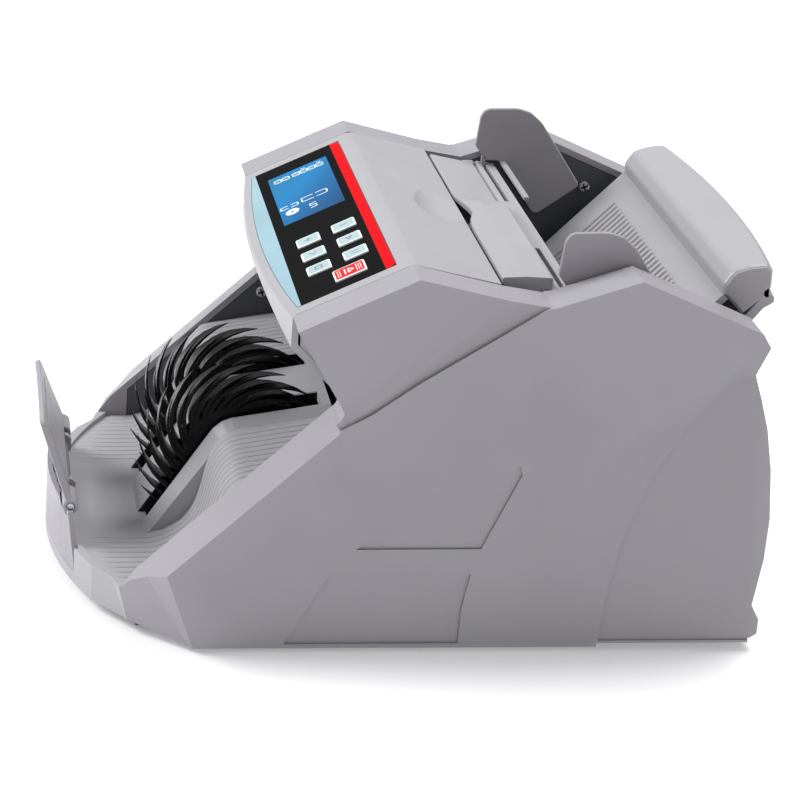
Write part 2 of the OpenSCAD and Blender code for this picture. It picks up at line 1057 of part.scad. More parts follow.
// One swept finger: its middle line from the hub to the tip, in [Y, Z] about the wheel's centre
finger_steps = 8;

function finger_mid(t) = let(r = 12.6 + (wheel_radius - 13.2) * t, a = -62 * pow(t, 1.25))
  [r * cos(a), r * sin(a)];

function finger_edge(t, side) = let(
  d = finger_mid(t + 0.01) - finger_mid(t - 0.01 * min(1, 100 * t)),
  w = finger_thickness * (0.5 - 0.35 * t)
) finger_mid(t) + side * w * [-d[1], d[0]] / norm(d);

function finger_shape() = concat(
  [for (i = [0:finger_steps]) finger_edge(i / finger_steps, 1)],
  [for (i = [finger_steps:-1:0]) finger_edge(i / finger_steps, -1)]
);

module stacker_fingers() {
  color(black)
    placed()
      for (x = [-wheel_offset, wheel_offset])
        translate([x, stacker_at[0], stacker_at[1]])
          yz(-finger_width / 2, finger_width / 2)
            difference() {
              union() {
                circle(r = 13.2, $fn = 64);
                for (i = [0:finger_count - 1])
                  rotate(i * 360 / finger_count)
                    polygon(finger_shape());
              }
              circle(r = 12, $fn = 64);
            }
}

module stacker_pulley() {
  color(black)
    placed()
      bored(stacker_at, shaft_diameter / 2, 80, 120)
        pulley(stacker_at, stacker_pulley_r, plane_line);
}

module shaft_bushing(at) {
  difference() {
    union() {
      bar_x(at, 5.98, seam, seam + 2.6);
      bar_x(at, 8, seam + 2.5, seam + 3.4);
    }
    bar_x(at, shaft_diameter / 2 + run_clearance, seam - 2, seam + 6);
  }
}

module shaft_bushings() {
  color(brass)
    placed()
      for (side = [0, 1])
        mirror([side, 0, 0])
          for (b = bore_list)
            shaft_bushing(b);
}

module motor() {
  color(steel)
    placed() {
      bar_x(motor_at, 21, 40, seam - 4);
      bar_x(motor_at, 8.8, seam - 5, seam + 2.5);
      // rear bearing cap
      bar_x(motor_at, 7, 36, 41);
      // mounting bracket to the base
      block([60, motor_at[0] - 20, 2.5], [80, motor_at[0] + 20, 12]);
    }
}

module motor_pulley() {
  color(black)
    placed() {
      pulley(motor_at, motor_pulley_r, plane_main);
      bar_x(motor_at, 3, seam + 2.8, plane_main);
    }
}

module belt_main() {
  color(rubber)
    placed()
      belt_loop([[motor_at, motor_pulley_r], [feed_at, feed_main_r]], plane_main);
}

module belt_pickup() {
  color(rubber)
    placed()
      belt_loop([[feed_at, feed_pickup_r], [pickup_at, pickup_pulley_r]], plane_pickup);
}

module belt_line() {
  color(rubber)
    placed()
      belt_loop([
        [feed_at, feed_line_r], [transport_at, transport_pulley_r], [stacker_at, stacker_pulley_r]
      ], plane_line);
}

// Upper and lower sheets that lead the notes from the feed rollers to the stacker
module note_guides() {
  color(steel)
    placed()
      difference() {
        union() {
          yz(-91, 91)
            polygon([[28, 98.5], [10, 94], [-38, 86.5], [-38, 85], [10, 92.5], [28, 97]]);
          yz(-91, 91)
            polygon([[24, 106], [-10, 98.4], [-36, 93.6], [-36, 95.2], [-10, 100], [24, 107.6]]);
          // end tabs to the frames
          for (s = [-1, 1])
            translate([s * 94.8, 0, 0])
              yz(-3.9, 3.9)
                polygon([[-34, 84], [-34, 99], [-24, 99], [-24, 84]]);
        }
        for (x = transport_x)
          block([x - 8, -18, 80], [x + 8, 18, 120]);
        for (x = roller_x)
          block([x - 10, 18, 90], [x + 10, 40, 120]);
        block([92, -60, 70], [97.4, 60, 92]);
      }
}

// ---- electrics and rear ----

module power_supply() {
  color(steel)
    placed()
      difference() {
        block([-85, 62, 2.5], [-5, 118, 48]);
        block([-83.5, 63.5, 4.5], [-6.5, 116.5, 52]);
        for (i = [0:5])
          block([-76 + i * 12, 50, 16], [-70 + i * 12, 130, 36]);
      }
}

module main_board() {
  color(green)
    placed() {
      block([-90, -20, 9], [20, 55, 10.6]);
      // board pillars
      for (x = [-84, 14])
        for (y = [-14, 49])
          translate([x, y, 2.5])
            cylinder(r = 2.5, h = 6.7, $fn = 24);
      // processor, connectors and capacitors
      block([-50, 5, 10.6], [-30, 25, 13]);
      block([-88, -10, 10.6], [-80, 40, 18]);
      for (y = [10, 30])
        translate([0, y, 10.6])
          cylinder(r = 6, h = 20, $fn = 32);
    }
}

rear_path = [[124.6, 127.5], [126.4, 122], [132.8, 101.2], [136.5, 60], [134, 20], [134, 3]];

module rear_cover() {
  color(shell_grey)
    placed()
      difference() {
        yz(-seam + gap, seam - gap)
          polygon(concat(rear_path, [[131.5, 3], [131.5, 20], [134, 60], [130.3, 101], [122, 127]]));
        // vents
        for (i = [0:9])
          block([10 + i * 8, 120, 30], [13 + i * 8, 145, 70]);
        // seat of the inlet and the switch
        block([-74, 120, 14], [-20, 145, 34]);
      }
}

rocker_axis = [134.2, 24];

// Moulding that holds the mains inlet and, beside it, the well of the switch
module power_inlet() {
  color(black)
    placed()
      difference() {
        union() {
          block([-73.8, 118.5, 14.2], [-20.2, 135.9, 33.8]);
          block([-78, 135.3, 11], [-16, 137.2, 37]);
        }
        // socket with three blades
        difference() {
          block([-71, 122, 17], [-49, 140, 31]);
          for (x = [-66, -60, -54])
            block([x - 1, 120, x == -60 ? 25 : 20], [x + 1, 133, x == -60 ? 29 : 24]);
        }
        // well and trunnion bore of the rocker
        block([-37.5, 130, 14.8], [-22.5, 140, 33.2]);
        bar_x(rocker_axis, 1.5 + run_clearance, -39.5, -20.5);
      }
}

module rocker_switch() {
  color(red)
    placed()
      translate([-30, rocker_axis[0], rocker_axis[1]]) {
        rotate([6, 0, 0])
          yz(-7, 7)
            polygon([[-2.6, -3], [-2.6, 3], [2.6, 8.2], [4.6, 8.2], [3.2, 0], [4.6, -8.2], [2.6, -8.2]]);
        rotate([0, 90, 0])
          cylinder(r = 1.5, h = 18, center = true, $fn = 32);
      }
}

base_pan();
feet();
side_cover_left();
side_cover_right();
side_frame_left();
side_frame_right();
frame_screws();
nose_fascia();
stop_skirt();
stop_plate();
stop_pin();
stacker_deck();
console_cover();
panel_overlay();
display_module();
key_1();
key_2();
key_3();
key_4();
key_5();
key_6();
key_start();
keypad_board();
jam_flap();
hopper_bridge();
adjust_screw();
retard_bracket();
retard_rollers();
retard_rod();
guide_left();
guide_right();
hopper_tray();
tray_rear_shell();
pickup_shaft();
pickup_rollers();
pickup_pulley();
feed_shaft();
feed_rollers();
feed_pulley();
transport_shaft();
transport_rollers();
transport_pulley();
pinch_shaft();
pinch_rollers();
stacker_shaft();
stacker_hubs();
stacker_fingers();
stacker_pulley();
shaft_bushings();
motor();
motor_pulley();
belt_main();
belt_pickup();
belt_line();
note_guides();
power_supply();
main_board();
rear_cover();
power_inlet();
rocker_switch();
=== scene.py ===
import math

import bmesh
import bpy
from mathutils import Matrix, Vector


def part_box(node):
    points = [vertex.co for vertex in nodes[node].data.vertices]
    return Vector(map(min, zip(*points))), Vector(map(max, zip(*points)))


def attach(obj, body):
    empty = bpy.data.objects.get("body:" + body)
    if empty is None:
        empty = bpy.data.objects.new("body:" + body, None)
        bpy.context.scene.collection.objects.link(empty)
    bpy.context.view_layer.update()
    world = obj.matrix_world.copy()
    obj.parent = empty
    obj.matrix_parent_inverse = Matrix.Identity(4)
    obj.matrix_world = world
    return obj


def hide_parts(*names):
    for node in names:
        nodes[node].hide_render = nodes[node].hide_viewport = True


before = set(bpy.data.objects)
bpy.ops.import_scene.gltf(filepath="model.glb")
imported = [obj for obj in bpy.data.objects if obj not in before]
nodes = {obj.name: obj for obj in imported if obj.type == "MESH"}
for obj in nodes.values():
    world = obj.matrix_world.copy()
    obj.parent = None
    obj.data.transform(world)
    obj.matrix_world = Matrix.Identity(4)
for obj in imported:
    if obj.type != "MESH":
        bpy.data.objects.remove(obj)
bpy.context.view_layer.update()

MM = 0.001
# The design's own origin sits this far from the frame's, in millimetres
# (part.scad: centre_shift, foot_height)
DESIGN_SHIFT = Vector((0.0, 9.67, 2.0))
SEAM = 98.7


# ---------------------------------------------------------------- camera, light, floor

VIEW_AZIMUTH = math.radians(79.42)
VIEW_ELEVATION = math.radians(21.31)
VIEW_ROLL = math.radians(4.55)
CAMERA_DESIGN = Vector((1097.58, -205.67, 502.48))
LENS = 117.0


def make_camera():
    a, e, r = VIEW_AZIMUTH, VIEW_ELEVATION, VIEW_ROLL
    right = Vector((math.cos(a), math.sin(a), 0.0))
    up = Vector((-math.sin(a) * math.sin(e), math.cos(a) * math.sin(e), math.cos(e)))
    back = Vector((math.sin(a) * math.cos(e), -math.cos(a) * math.cos(e), math.sin(e)))
    x_axis = right * math.cos(r) + up * math.sin(r)
    y_axis = up * math.cos(r) - right * math.sin(r)
    data = bpy.data.cameras.new("camera")
    data.lens = LENS
    data.sensor_width = 36.0
    data.clip_start = 0.05
    camera = bpy.data.objects.new("camera", data)
    turned = Matrix((x_axis, y_axis, back)).transposed()
    place = (CAMERA_DESIGN + DESIGN_SHIFT) * MM
    camera.matrix_world = Matrix.Translation(place) @ turned.to_4x4()
    bpy.context.scene.collection.objects.link(camera)
    bpy.context.scene.camera = camera


def area_light(name, place, size, power, target=(0.0, 0.0, 0.08)):
    data = bpy.data.lights.new(name, "AREA")
    data.shape = "RECTANGLE"
    data.size, data.size_y = size
    data.energy = power
    light = bpy.data.objects.new(name, data)
    light.location = place
    aim = Vector(target) - Vector(place)
    light.rotation_euler = aim.to_track_quat("-Z", "Y").to_euler()
    bpy.context.scene.collection.objects.link(light)


def make_light():
    world = bpy.data.worlds.new("studio")
    world.use_nodes = True
    world.node_tree.nodes["Background"].inputs["Color"].default_value = (1.0, 1.0, 1.0, 1.0)
    world.node_tree.nodes["Background"].inputs["Strength"].default_value = 0.40
    bpy.context.scene.world = world
    area_light("front_light", (-0.5, -1.6, 1.3), (1.0, 0.8), 36.0)
    area_light("side_light", (1.5, 0.9, 0.35), (0.9, 0.9), 2.2)
    area_light("rear_light", (-0.3, 0.7, 1.7), (0.8, 0.8), 25.0)
    bpy.context.scene.view_settings.view_transform = "Standard"


# ---------------------------------------------------------------- node materials

def srgb(r, g, b):
    """Linear colour from 8-bit display values"""
    out = []
    for c in (r, g, b):
        c = c / 255.0
        out.append(c / 12.92 if c <= 0.04045 else ((c + 0.055) / 1.055) ** 2.4)
    return (*out, 1.0)


class Mat:
    """A small helper that wires one Principled material"""

    def __init__(self, name):
        self.mat = bpy.data.materials.new(name)
        self.mat.use_nodes = True
        self.tree = self.mat.node_tree
        self.shader = self.tree.nodes["Principled BSDF"]
        coords = self.tree.nodes.new("ShaderNodeTexCoord")
        self.object = coords.outputs["Object"]
        self.bumps = None

    def node(self, kind, **values):
        made = self.tree.nodes.new(kind)
        for key, value in values.items():
            if key in made.inputs:
                made.inputs[key].default_value = value
            else:
                setattr(made, key.lower().replace(" ", "_"), value)
        return made

    def link(self, a, b):
        self.tree.links.new(a, b)

    def noise(self, scale, detail=3.0, roughness=0.5, stretch=None):
        made = self.node("ShaderNodeTexNoise", Scale=scale, Detail=detail, Roughness=roughness)
        source = self.object
        if stretch:
            mapping = self.node("ShaderNodeMapping", Scale=stretch)
            self.link(source, mapping.inputs["Vector"])
            source = mapping.outputs["Vector"]
        self.link(source, made.inputs["Vector"])
        return made.outputs["Fac"]

    def ramp(self, factor, stops):
        made = self.tree.nodes.new("ShaderNodeValToRGB")
        band = made.color_ramp
        while len(band.elements) < len(stops):
            band.elements.new(0.5)
        for element, (at, colour) in zip(band.elements, stops):
            element.position = at
            element.color = colour
        self.link(factor, made.inputs["Fac"])
        return made.outputs["Color"]

    def mix(self, factor, a, b):
        made = self.tree.nodes.new("ShaderNodeMix")
        made.data_type = "RGBA"
        for value, socket in ((factor, made.inputs[0]), (a, made.inputs[6]), (b, made.inputs[7])):
            if isinstance(value, (float, tuple)):
                socket.default_value = value
            else:
                self.link(value, socket)
        return made.outputs[2]

    def spread(self, factor, low, high):
        made = self.node("ShaderNodeMapRange")
        made.inputs["From Min"].default_value = 0.3
        made.inputs["From Max"].default_value = 0.7
        made.inputs["To Min"].default_value = low
        made.inputs["To Max"].default_value = high
        self.link(factor, made.inputs["Value"])
        return made.outputs["Result"]

    def bump(self, height, strength, distance=0.0002):
        made = self.node("ShaderNodeBump", Strength=strength, Distance=distance)
        self.link(height, made.inputs["Height"])
        if self.bumps is not None:
            self.link(self.bumps, made.inputs["Normal"])
        self.bumps = made.outputs["Normal"]
        self.link(self.bumps, self.shader.inputs["Normal"])

    def set(self, name, value):
        self.shader.inputs[name].default_value = value

    def feed(self, name, output):
        self.link(output, self.shader.inputs[name])


def tinted(colour, k):
    return (min(1.0, colour[0] * k), min(1.0, colour[1] * k), min(1.0, colour[2] * k), 1.0)


def moulded(name, colour, rough=0.42, grain=0.12, spread=0.025, worn=0.10, scale=2600.0):
    """Injection-moulded plastic: spark-eroded grain, faint flow clouds, lighter rubbed edges"""
    m = Mat(name)
    clouds = m.noise(14.0, 4.0, 0.55)
    fine = m.noise(scale, 2.0, 0.6)
    base = m.ramp(clouds, [(0.3, tinted(colour, 1 - spread)), (0.7, tinted(colour, 1 + spread))])
    specks = m.mix(m.spread(fine, 0.0, 0.10), base, tinted(colour, 0.72))
    geometry = m.node("ShaderNodeNewGeometry")
    edge = m.ramp(geometry.outputs["Pointiness"], [(0.50, (0, 0, 0, 1)), (0.58, (worn, worn, worn, 1))])
    m.feed("Base Color", m.mix(edge, specks, tinted(colour, 1.5)))
    m.feed("Roughness", m.spread(m.noise(60.0, 3.0), rough - 0.06, rough + 0.08))
    m.bump(fine, grain, 0.00012)
    m.set("Specular IOR Level", 0.45)
    return m.mat


def metal(name, colour, rough=0.28, stretch=(1.0, 30.0, 30.0)):
    """Turned or rolled metal with fine lines and a little tarnish"""
    m = Mat(name)
    lines = m.noise(120.0, 4.0, 0.6, stretch)
    cloud = m.noise(30.0, 3.0)
    m.feed("Base Color", m.mix(m.spread(cloud, 0.0, 0.35), colour, tinted(colour, 0.6)))
    m.feed("Roughness", m.spread(lines, rough - 0.08, rough + 0.14))
    m.bump(lines, 0.18, 0.00005)
    m.set("Metallic", 1.0)
    return m.mat


def rubbery(name, colour, rough=0.6, dust=0.2, shine=0.4, dust_colour=(0.2, 0.19, 0.18, 1.0)):
    """Rubber with a dusty bloom and fine pores"""
    m = Mat(name)
    bloom = m.noise(90.0, 5.0, 0.65)
    pores = m.noise(1800.0, 2.0)
    m.feed("Base Color", m.mix(m.spread(bloom, 0.0, dust), colour, dust_colour))
    m.feed("Roughness", m.spread(bloom, rough - 0.1, rough + 0.12))
    m.bump(pores, 0.2, 0.00008)
    m.set("Specular IOR Level", shine)
    return m.mat


def printed_film(name, colour, rough=0.3, spread=0.06):
    """Polycarbonate film printed from behind: even ink, velvet grain on top"""
    m = Mat(name)
    velvet = m.noise(4200.0, 2.0, 0.5)
    wipe = m.noise(25.0, 4.0, 0.6)
    m.feed("Base Color",
           m.ramp(wipe, [(0.3, tinted(colour, 1 - spread)), (0.7, tinted(colour, 1 + spread))]))
    m.feed("Roughness", m.spread(wipe, rough - 0.05, rough + 0.1))
    m.bump(velvet, 0.06, 0.00004)
    m.set("Specular IOR Level", 0.06)
    return m.mat


def display_glow(name):
    """Backlit blue display: bright towards the middle of its front edge, deep at the rear corner"""
    m = Mat(name)
    local = m.tree.nodes.new("ShaderNodeSeparateXYZ")
    m.link(m.object, local.inputs[0])
    low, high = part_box("display_module")
    across = m.node("ShaderNodeMapRange")
    m.link(local.outputs["X"], across.inputs["Value"])
    across.inputs["From Min"].default_value = low.x + 0.014
    across.inputs["From Max"].default_value = high.x + 0.004
    up = m.node("ShaderNodeMapRange")
    m.link(local.outputs["Y"], up.inputs["Value"])
    up.inputs["From Min"].default_value = low.y - 0.004
    up.inputs["From Max"].default_value = high.y + 0.002
    total = m.node("ShaderNodeMath", operation="ADD")
    m.link(across.outputs["Result"], total.inputs[0])
    m.link(up.outputs["Result"], total.inputs[1])
    halved = m.node("ShaderNodeMath", operation="MULTIPLY")
    m.link(total.outputs[0], halved.inputs[0])
    halved.inputs[1].default_value = 0.5
    glow = m.ramp(halved.outputs[0], [
        (0.0, srgb(10, 100, 140)), (0.3, srgb(0, 108, 160)), (0.6, srgb(0, 78, 128)), (1.0, srgb(6, 36, 66))
    ])
    cells = m.noise(5200.0, 1.0)
    shade = m.mix(m.spread(cells, 0.0, 0.12), glow, (0.0, 0.1, 0.3, 1.0))
    m.feed("Base Color", shade)
    m.feed("Emission Color", shade)
    m.set("Emission Strength", 0.3)
    m.set("Specular IOR Level", 0.15)
    m.feed("Roughness", m.spread(m.noise(30.0), 0.08, 0.2))
    m.bump(cells, 0.02, 0.00002)
    return m.mat


def board_mask(name):
    """Green solder mask with darker copper paths showing through"""
    m = Mat(name)
    paths = m.node("ShaderNodeTexBrick", Scale=220.0)
    m.link(m.object, paths.inputs["Vector"])
    paths.inputs["Color1"].default_value = srgb(22, 96, 58)
    paths.inputs["Color2"].default_value = srgb(18, 82, 50)
    paths.inputs["Mortar"].default_value = srgb(60, 140, 84)
    cloud = m.noise(50.0)
    m.feed("Base Color", m.mix(m.spread(cloud, 0.0, 0.3), paths.outputs["Color"], srgb(10, 60, 40)))
    m.feed("Roughness", m.spread(cloud, 0.25, 0.4))
    m.bump(paths.outputs["Fac"], 0.2, 0.00005)
    return m.mat


def floor_paper(name):
    m = Mat(name)
    fibres = m.noise(600.0, 4.0, 0.7)
    m.feed("Base Color", m.ramp(fibres, [(0.3, (0.86, 0.86, 0.87, 1)), (0.7, (0.9, 0.9, 0.91, 1))]))
    m.feed("Roughness", m.spread(fibres, 0.75, 0.9))
    m.set("Emission Color", (1.0, 1.0, 1.0, 1.0))
    m.set("Emission Strength", 0.22)
    m.bump(fibres, 0.05, 0.0001)
    return m.mat


MATERIALS = {
    "shell": moulded("shell_plastic", srgb(150, 148, 154), worn=0.2),
    "light_shell": moulded("light_shell_plastic", srgb(164, 163, 167)),
    "dark_plastic": moulded("dark_plastic", srgb(74, 76, 80), rough=0.5, worn=0.04),
    "black_plastic": moulded("black_plastic", srgb(26, 26, 28), rough=0.45, worn=0.03),
    "film": printed_film("film_black", srgb(9, 8, 9), rough=0.5),
    "film_red": printed_film("film_red", srgb(206, 8, 20), rough=0.5),
    "film_pale": printed_film("film_pale", srgb(146, 176, 188)),
    "print_white": printed_film("print_white", srgb(232, 242, 245)),
    "print_grey": printed_film("print_grey", srgb(120, 132, 136)),
    "display": display_glow("display_glass"),
    "key": printed_film("key_film", srgb(168, 188, 190), rough=0.35),
    "key_red": printed_film("key_red_film", srgb(214, 44, 44), rough=0.35),
    "steel": metal("steel", srgb(176, 178, 182)),
    "black_steel": metal("black_steel", srgb(58, 58, 62), rough=0.35),
    "rubber": rubbery("rubber", srgb(38, 38, 40)),
    "finger": rubbery("finger_rubber", srgb(4, 4, 5), rough=0.3, dust=0.01, shine=0.2),
    "brass": metal("brass", srgb(196, 160, 92)),
    "board": board_mask("board_mask"),
    "knob": moulded("knob_plastic", srgb(214, 212, 204), rough=0.4),
    "red_plastic": moulded("red_plastic", srgb(190, 30, 34), rough=0.35),
}
CAD_FINISH = {
    "base_pan": "black_steel", "feet": "rubber", "side_cover_left": "shell",
    "side_cover_right": "shell", "side_frame_left": "dark_plastic", "side_frame_right": "dark_plastic",
    "frame_screws": "steel", "nose_fascia": "light_shell", "stop_skirt": "shell",
    "stop_plate": "shell", "stop_pin": "steel", "stacker_deck": "light_shell",
    "console_cover": "light_shell", "panel_overlay": "film", "display_module": "display",
    "key_1": "key", "key_2": "key", "key_3": "key", "key_4": "key", "key_5": "key", "key_6": "key",
    "key_start": "key_red", "keypad_board": "board", "jam_flap": "light_shell",
    "hopper_bridge": "light_shell", "adjust_screw": "knob", "retard_bracket": "steel",
    "retard_rollers": "rubber", "retard_rod": "steel", "guide_left": "shell", "guide_right": "shell",
    "hopper_tray": "light_shell", "tray_rear_shell": "shell", "pickup_shaft": "steel",
    "pickup_rollers": "rubber", "pickup_pulley": "black_plastic", "feed_shaft": "steel",
    "feed_rollers": "rubber", "feed_pulley": "black_plastic", "transport_shaft": "steel",
    "transport_rollers": "rubber", "transport_pulley": "black_plastic", "pinch_shaft": "steel",
    "pinch_rollers": "rubber", "stacker_shaft": "steel", "stacker_hubs": "black_plastic",
    "stacker_fingers": "finger", "stacker_pulley": "black_plastic", "shaft_bushings": "brass",
    "motor": "steel", "motor_pulley": "black_plastic", "belt_main": "rubber",
    "belt_pickup": "rubber", "belt_line": "rubber", "note_guides": "black_steel",
    "power_supply": "steel", "main_board": "board", "rear_cover": "shell",
    "power_inlet": "black_plastic", "rocker_switch": "red_plastic",
}
# Width asked of the bevel on a carried node, in millimetres. See dress_cad: it has no effect.
EDGE = {
    "side_cover_left": 1.0, "side_cover_right": 1.0, "nose_fascia": 1.0, "stop_skirt": 0.8,
    "stop_plate": 0.7, "hopper_bridge": 0.5, "guide_left": 0.8, "guide_right": 0.8,
    "rear_cover": 0.8, "feet": 0.6, "power_supply": 0.3, "base_pan": 0.3,
}


def dress_cad():
    """Finish on every CAD node; their meshes stay as packed.

    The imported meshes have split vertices, so the bevel finds no edge between two faces
    and rounds nothing. A weld in front of it would be needed.
    """
    for name, obj in nodes.items():
        obj.data.materials.clear()
        obj.data.materials.append(MATERIALS[CAD_FINISH[name]])
        flat = obj.modifiers.new("flat", "DECIMATE")
        flat.decimate_type = "DISSOLVE"
        flat.angle_limit = math.radians(1.0)
        soft = obj.modifiers.new("soft_edges", "BEVEL")
        soft.width = EDGE.get(name, 0.2) * MM
        soft.segments = 3
        soft.limit_method = "ANGLE"
        soft.angle_limit = math.radians(28)
        soft.harden_normals = False
        obj.modifiers.new("even_normals", "WEIGHTED_NORMAL").keep_sharp = True
        for face in obj.data.polygons:
            face.use_smooth = True


# ---------------------------------------------------------------- shaping helpers

SLOPE = math.atan2(23.5, 48.5)
TRAY = math.radians(46.0)


def on_slope(x, s, h):
    """Point on the console slope: across, up the slope, out of it"""
    return (x, -66.5 + s * math.cos(SLOPE) - h * math.sin(SLOPE),
            142 + s * math.sin(SLOPE) + h * math.cos(SLOPE))


def on_tray(x, v, h):
    """Point on the tray slope, measured from its top crease"""
    return (x, 118.2 + v * math.cos(TRAY) - h * math.sin(TRAY),
            151.7 + v * math.sin(TRAY) + h * math.cos(TRAY))


def fillet(points, radii, steps=5):
    """Closed outline with rounded corners; every corner gives the same number of points"""
    out = []
    count = len(points)
    for i in range(count):
        p = Vector(points[i])
        r = radii[i] if isinstance(radii, (list, tuple)) else radii
        a = Vector(points[i - 1]) - p
        b = Vector(points[(i + 1) % count]) - p
        if r <= 0:
            out.append(tuple(p))
            continue
        ua, ub = a.normalized(), b.normalized()
        opening = 0.5 * ua.angle(ub)
        reach = min(r / max(math.tan(opening), 1e-4), 0.46 * a.length, 0.46 * b.length)
        if opening > math.radians(89):
            out += [tuple(p)] * (steps + 1)
            continue
        real = reach * math.tan(opening)
        centre = p + (ua + ub).normalized() * (real / math.sin(opening))
        start, end = p + ua * reach - centre, p + ub * reach - centre
        for k in range(steps + 1):
            way = start.lerp(end, k / steps).normalized() * real
            out.append(tuple(centre + way))
    return out


def smooth_step(t):
    t = max(0.0, min(1.0, t))
    return t * t * (3 - 2 * t)


def between(path, y):
    """Height of an open [Y, Z] path at y"""
    for (y0, z0), (y1, z1) in zip(path, path[1:]):
        if y0 <= y <= y1:
            return z0 + (z1 - z0) * (y - y0) / (y1 - y0)
    return path[0][1] if y < path[0][0] else path[-1][1]


class Build:
    """Collects faces in design millimetres, then becomes one piece"""

    def __init__(self):
        self.bm = bmesh.new()
        self.materials = []

    def slot_of(self, material):
        if material not in self.materials:
            self.materials.append(material)
        return self.materials.index(material)

    def loft(self, rings, material, loop=False, caps=True, first=None, last=None):
        """Skin over closed rings of points; the two end faces may have a material of their own"""
        index = self.slot_of(material)
        made = [[self.bm.verts.new((Vector(p) + DESIGN_SHIFT) * MM) for p in ring] for ring in rings]
        pairs = list(zip(made, made[1:])) + ([(made[-1], made[0])] if loop else [])
        for low, high in pairs:
            for i in range(len(low)):
                j = (i + 1) % len(low)
                self.bm.faces.new((low[i], low[j], high[j], high[i])).material_index = index
        if caps and not loop:
            self.bm.faces.new(list(reversed(made[0]))).material_index = self.slot_of(first or material)
            self.bm.faces.new(made[-1]).material_index = self.slot_of(last or material)
        return self

    def across(self, outline, x0, x1, material, round_by=0.0, steps=3):
        """[Y, Z] outline extruded along X, its two rims optionally rounded"""
        if round_by <= 0:
            return self.loft([[(x0, *p) for p in outline], [(x1, *p) for p in outline]], material)
        rings = []
        side = 1 if x1 > x0 else -1
        for k in range(steps + 1):
            turn = math.pi / 2 * k / steps
            rings.append([(x0 + side * round_by * (1 - math.sin(turn)), *p)
                          for p in shrunk(outline, round_by * (1 - math.cos(turn)))])
        rings.reverse()
        far = [[(x1 - side * abs(ring[0][0] - x0), *point[1:]) for point in ring] for ring in rings]
        return self.loft(rings + list(reversed(far)), material)

    def mapped(self, outline, place, h0, h1, material, round_by=0.0, steps=3):
        """2-D outline raised between two heights by a placing function (x, s, h); top rim rounded"""
        rings = [[place(*p, h0) for p in outline]]
        if round_by > 0:
            for k in range(steps + 1):
                turn = math.pi / 2 * k / steps
                drawn = shrunk(outline, round_by * (1 - math.cos(turn)))
                rings.append([place(*p, h1 - round_by * (1 - math.sin(turn))) for p in drawn])
        else:
            rings.append([place(*p, h1) for p in outline])
        return self.loft(rings, material)

    def box(self, low, high, material, place=None):
        (x0, y0, z0), (x1, y1, z1) = low, high
        ring = [(x0, y0), (x1, y0), (x1, y1), (x0, y1)]
        if place:
            return self.mapped(ring, place, z0, z1, material)
        return self.loft([[(x, y, z0) for x, y in ring], [(x, y, z1) for x, y in ring]], material)

    def rod(self, centre, radius, x0, x1, material, count=32, chamfer=0.0):
        """Round bar along X with chamfered ends"""
        stops = [(x0, radius - chamfer), (x0 + chamfer, radius), (x1 - chamfer, radius),
                 (x1, radius - chamfer)]
        rings = [[(x, centre[0] + r * math.cos(2 * math.pi * k / count),
                   centre[1] + r * math.sin(2 * math.pi * k / count)) for k in range(count)]
                 for x, r in (stops if chamfer else stops[1:3])]
        return self.loft(rings, material)

    def piece(self, name, body, stands_for=(), slot=None, bevel=0.0, angle=32, segments=3, tidy=True):
        bm = self.bm
        if tidy:
            bmesh.ops.remove_doubles(bm, verts=bm.verts, dist=1e-6)
            bmesh.ops.dissolve_degenerate(bm, edges=bm.edges, dist=1e-7)
        bmesh.ops.recalc_face_normals(bm, faces=bm.faces)
        mesh = bpy.data.meshes.new(name)
        bm.to_mesh(mesh)
        bm.free()
        for material in self.materials:
            mesh.materials.append(MATERIALS[material])
        mesh.shade_smooth()
        mesh.set_sharp_from_angle(angle=math.radians(angle + (40 if bevel else 0)))
        obj = bpy.data.objects.new(name, mesh)
        bpy.context.scene.collection.objects.link(obj)
        if bevel:
            soft = obj.modifiers.new("soft_edges", "BEVEL")
            soft.width = bevel * MM
            soft.segments = segments
            soft.limit_method = "ANGLE"
            soft.angle_limit = math.radians(angle)
        normals = obj.modifiers.new("even_normals", "WEIGHTED_NORMAL")
        normals.keep_sharp = True
        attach(obj, body)
        if stands_for:
            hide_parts(*stands_for)
        return obj


def shrunk(outline, t):
    """Closed outline drawn in by t, whichever way it turns"""
    if t == 0:
        return list(outline)
    points = [Vector(p) for p in outline]
    area = sum(a.x * b.y - b.x * a.y for a, b in zip(points, points[1:] + points[:1]))
    side = 1 if area > 0 else -1
    out = []
    for i, p in enumerate(points):
        a = (p - points[i - 1])
        b = (points[(i + 1) % len(points)] - p)
        if a.length < 1e-6 or b.length < 1e-6:
            a = b = points[(i + 1) % len(points)] - points[i - 1]
        a, b = a.normalized(), b.normalized()
        na, nb = Vector((-a.y, a.x)) * side, Vector((-b.y, b.x)) * side
        out.append(tuple(p + (na + nb) * (t / max(0.35, 1 + na.dot(nb)))))
    return out


def cut(obj, cutter):
    """Takes the cutter's shape out of obj for good, and throws the cutter away"""
    hidden = [m for m in obj.modifiers]
    for m in hidden:
        m.show_viewport = False
    tool = obj.modifiers.new("cut", "BOOLEAN")
    tool.object = cutter
    tool.solver = "EXACT"
    bpy.context.view_layer.update()
    graph = bpy.context.evaluated_depsgraph_get()
    mesh = bpy.data.meshes.new_from_object(obj.evaluated_get(graph))
    old = obj.data
    obj.modifiers.remove(tool)
    obj.data = mesh
    mesh.name = old.name
    bpy.data.meshes.remove(old)
    for m in hidden:
        m.show_viewport = True
    bpy.data.objects.remove(cutter)
    mesh.set_sharp_from_angle(angle=math.radians(40))


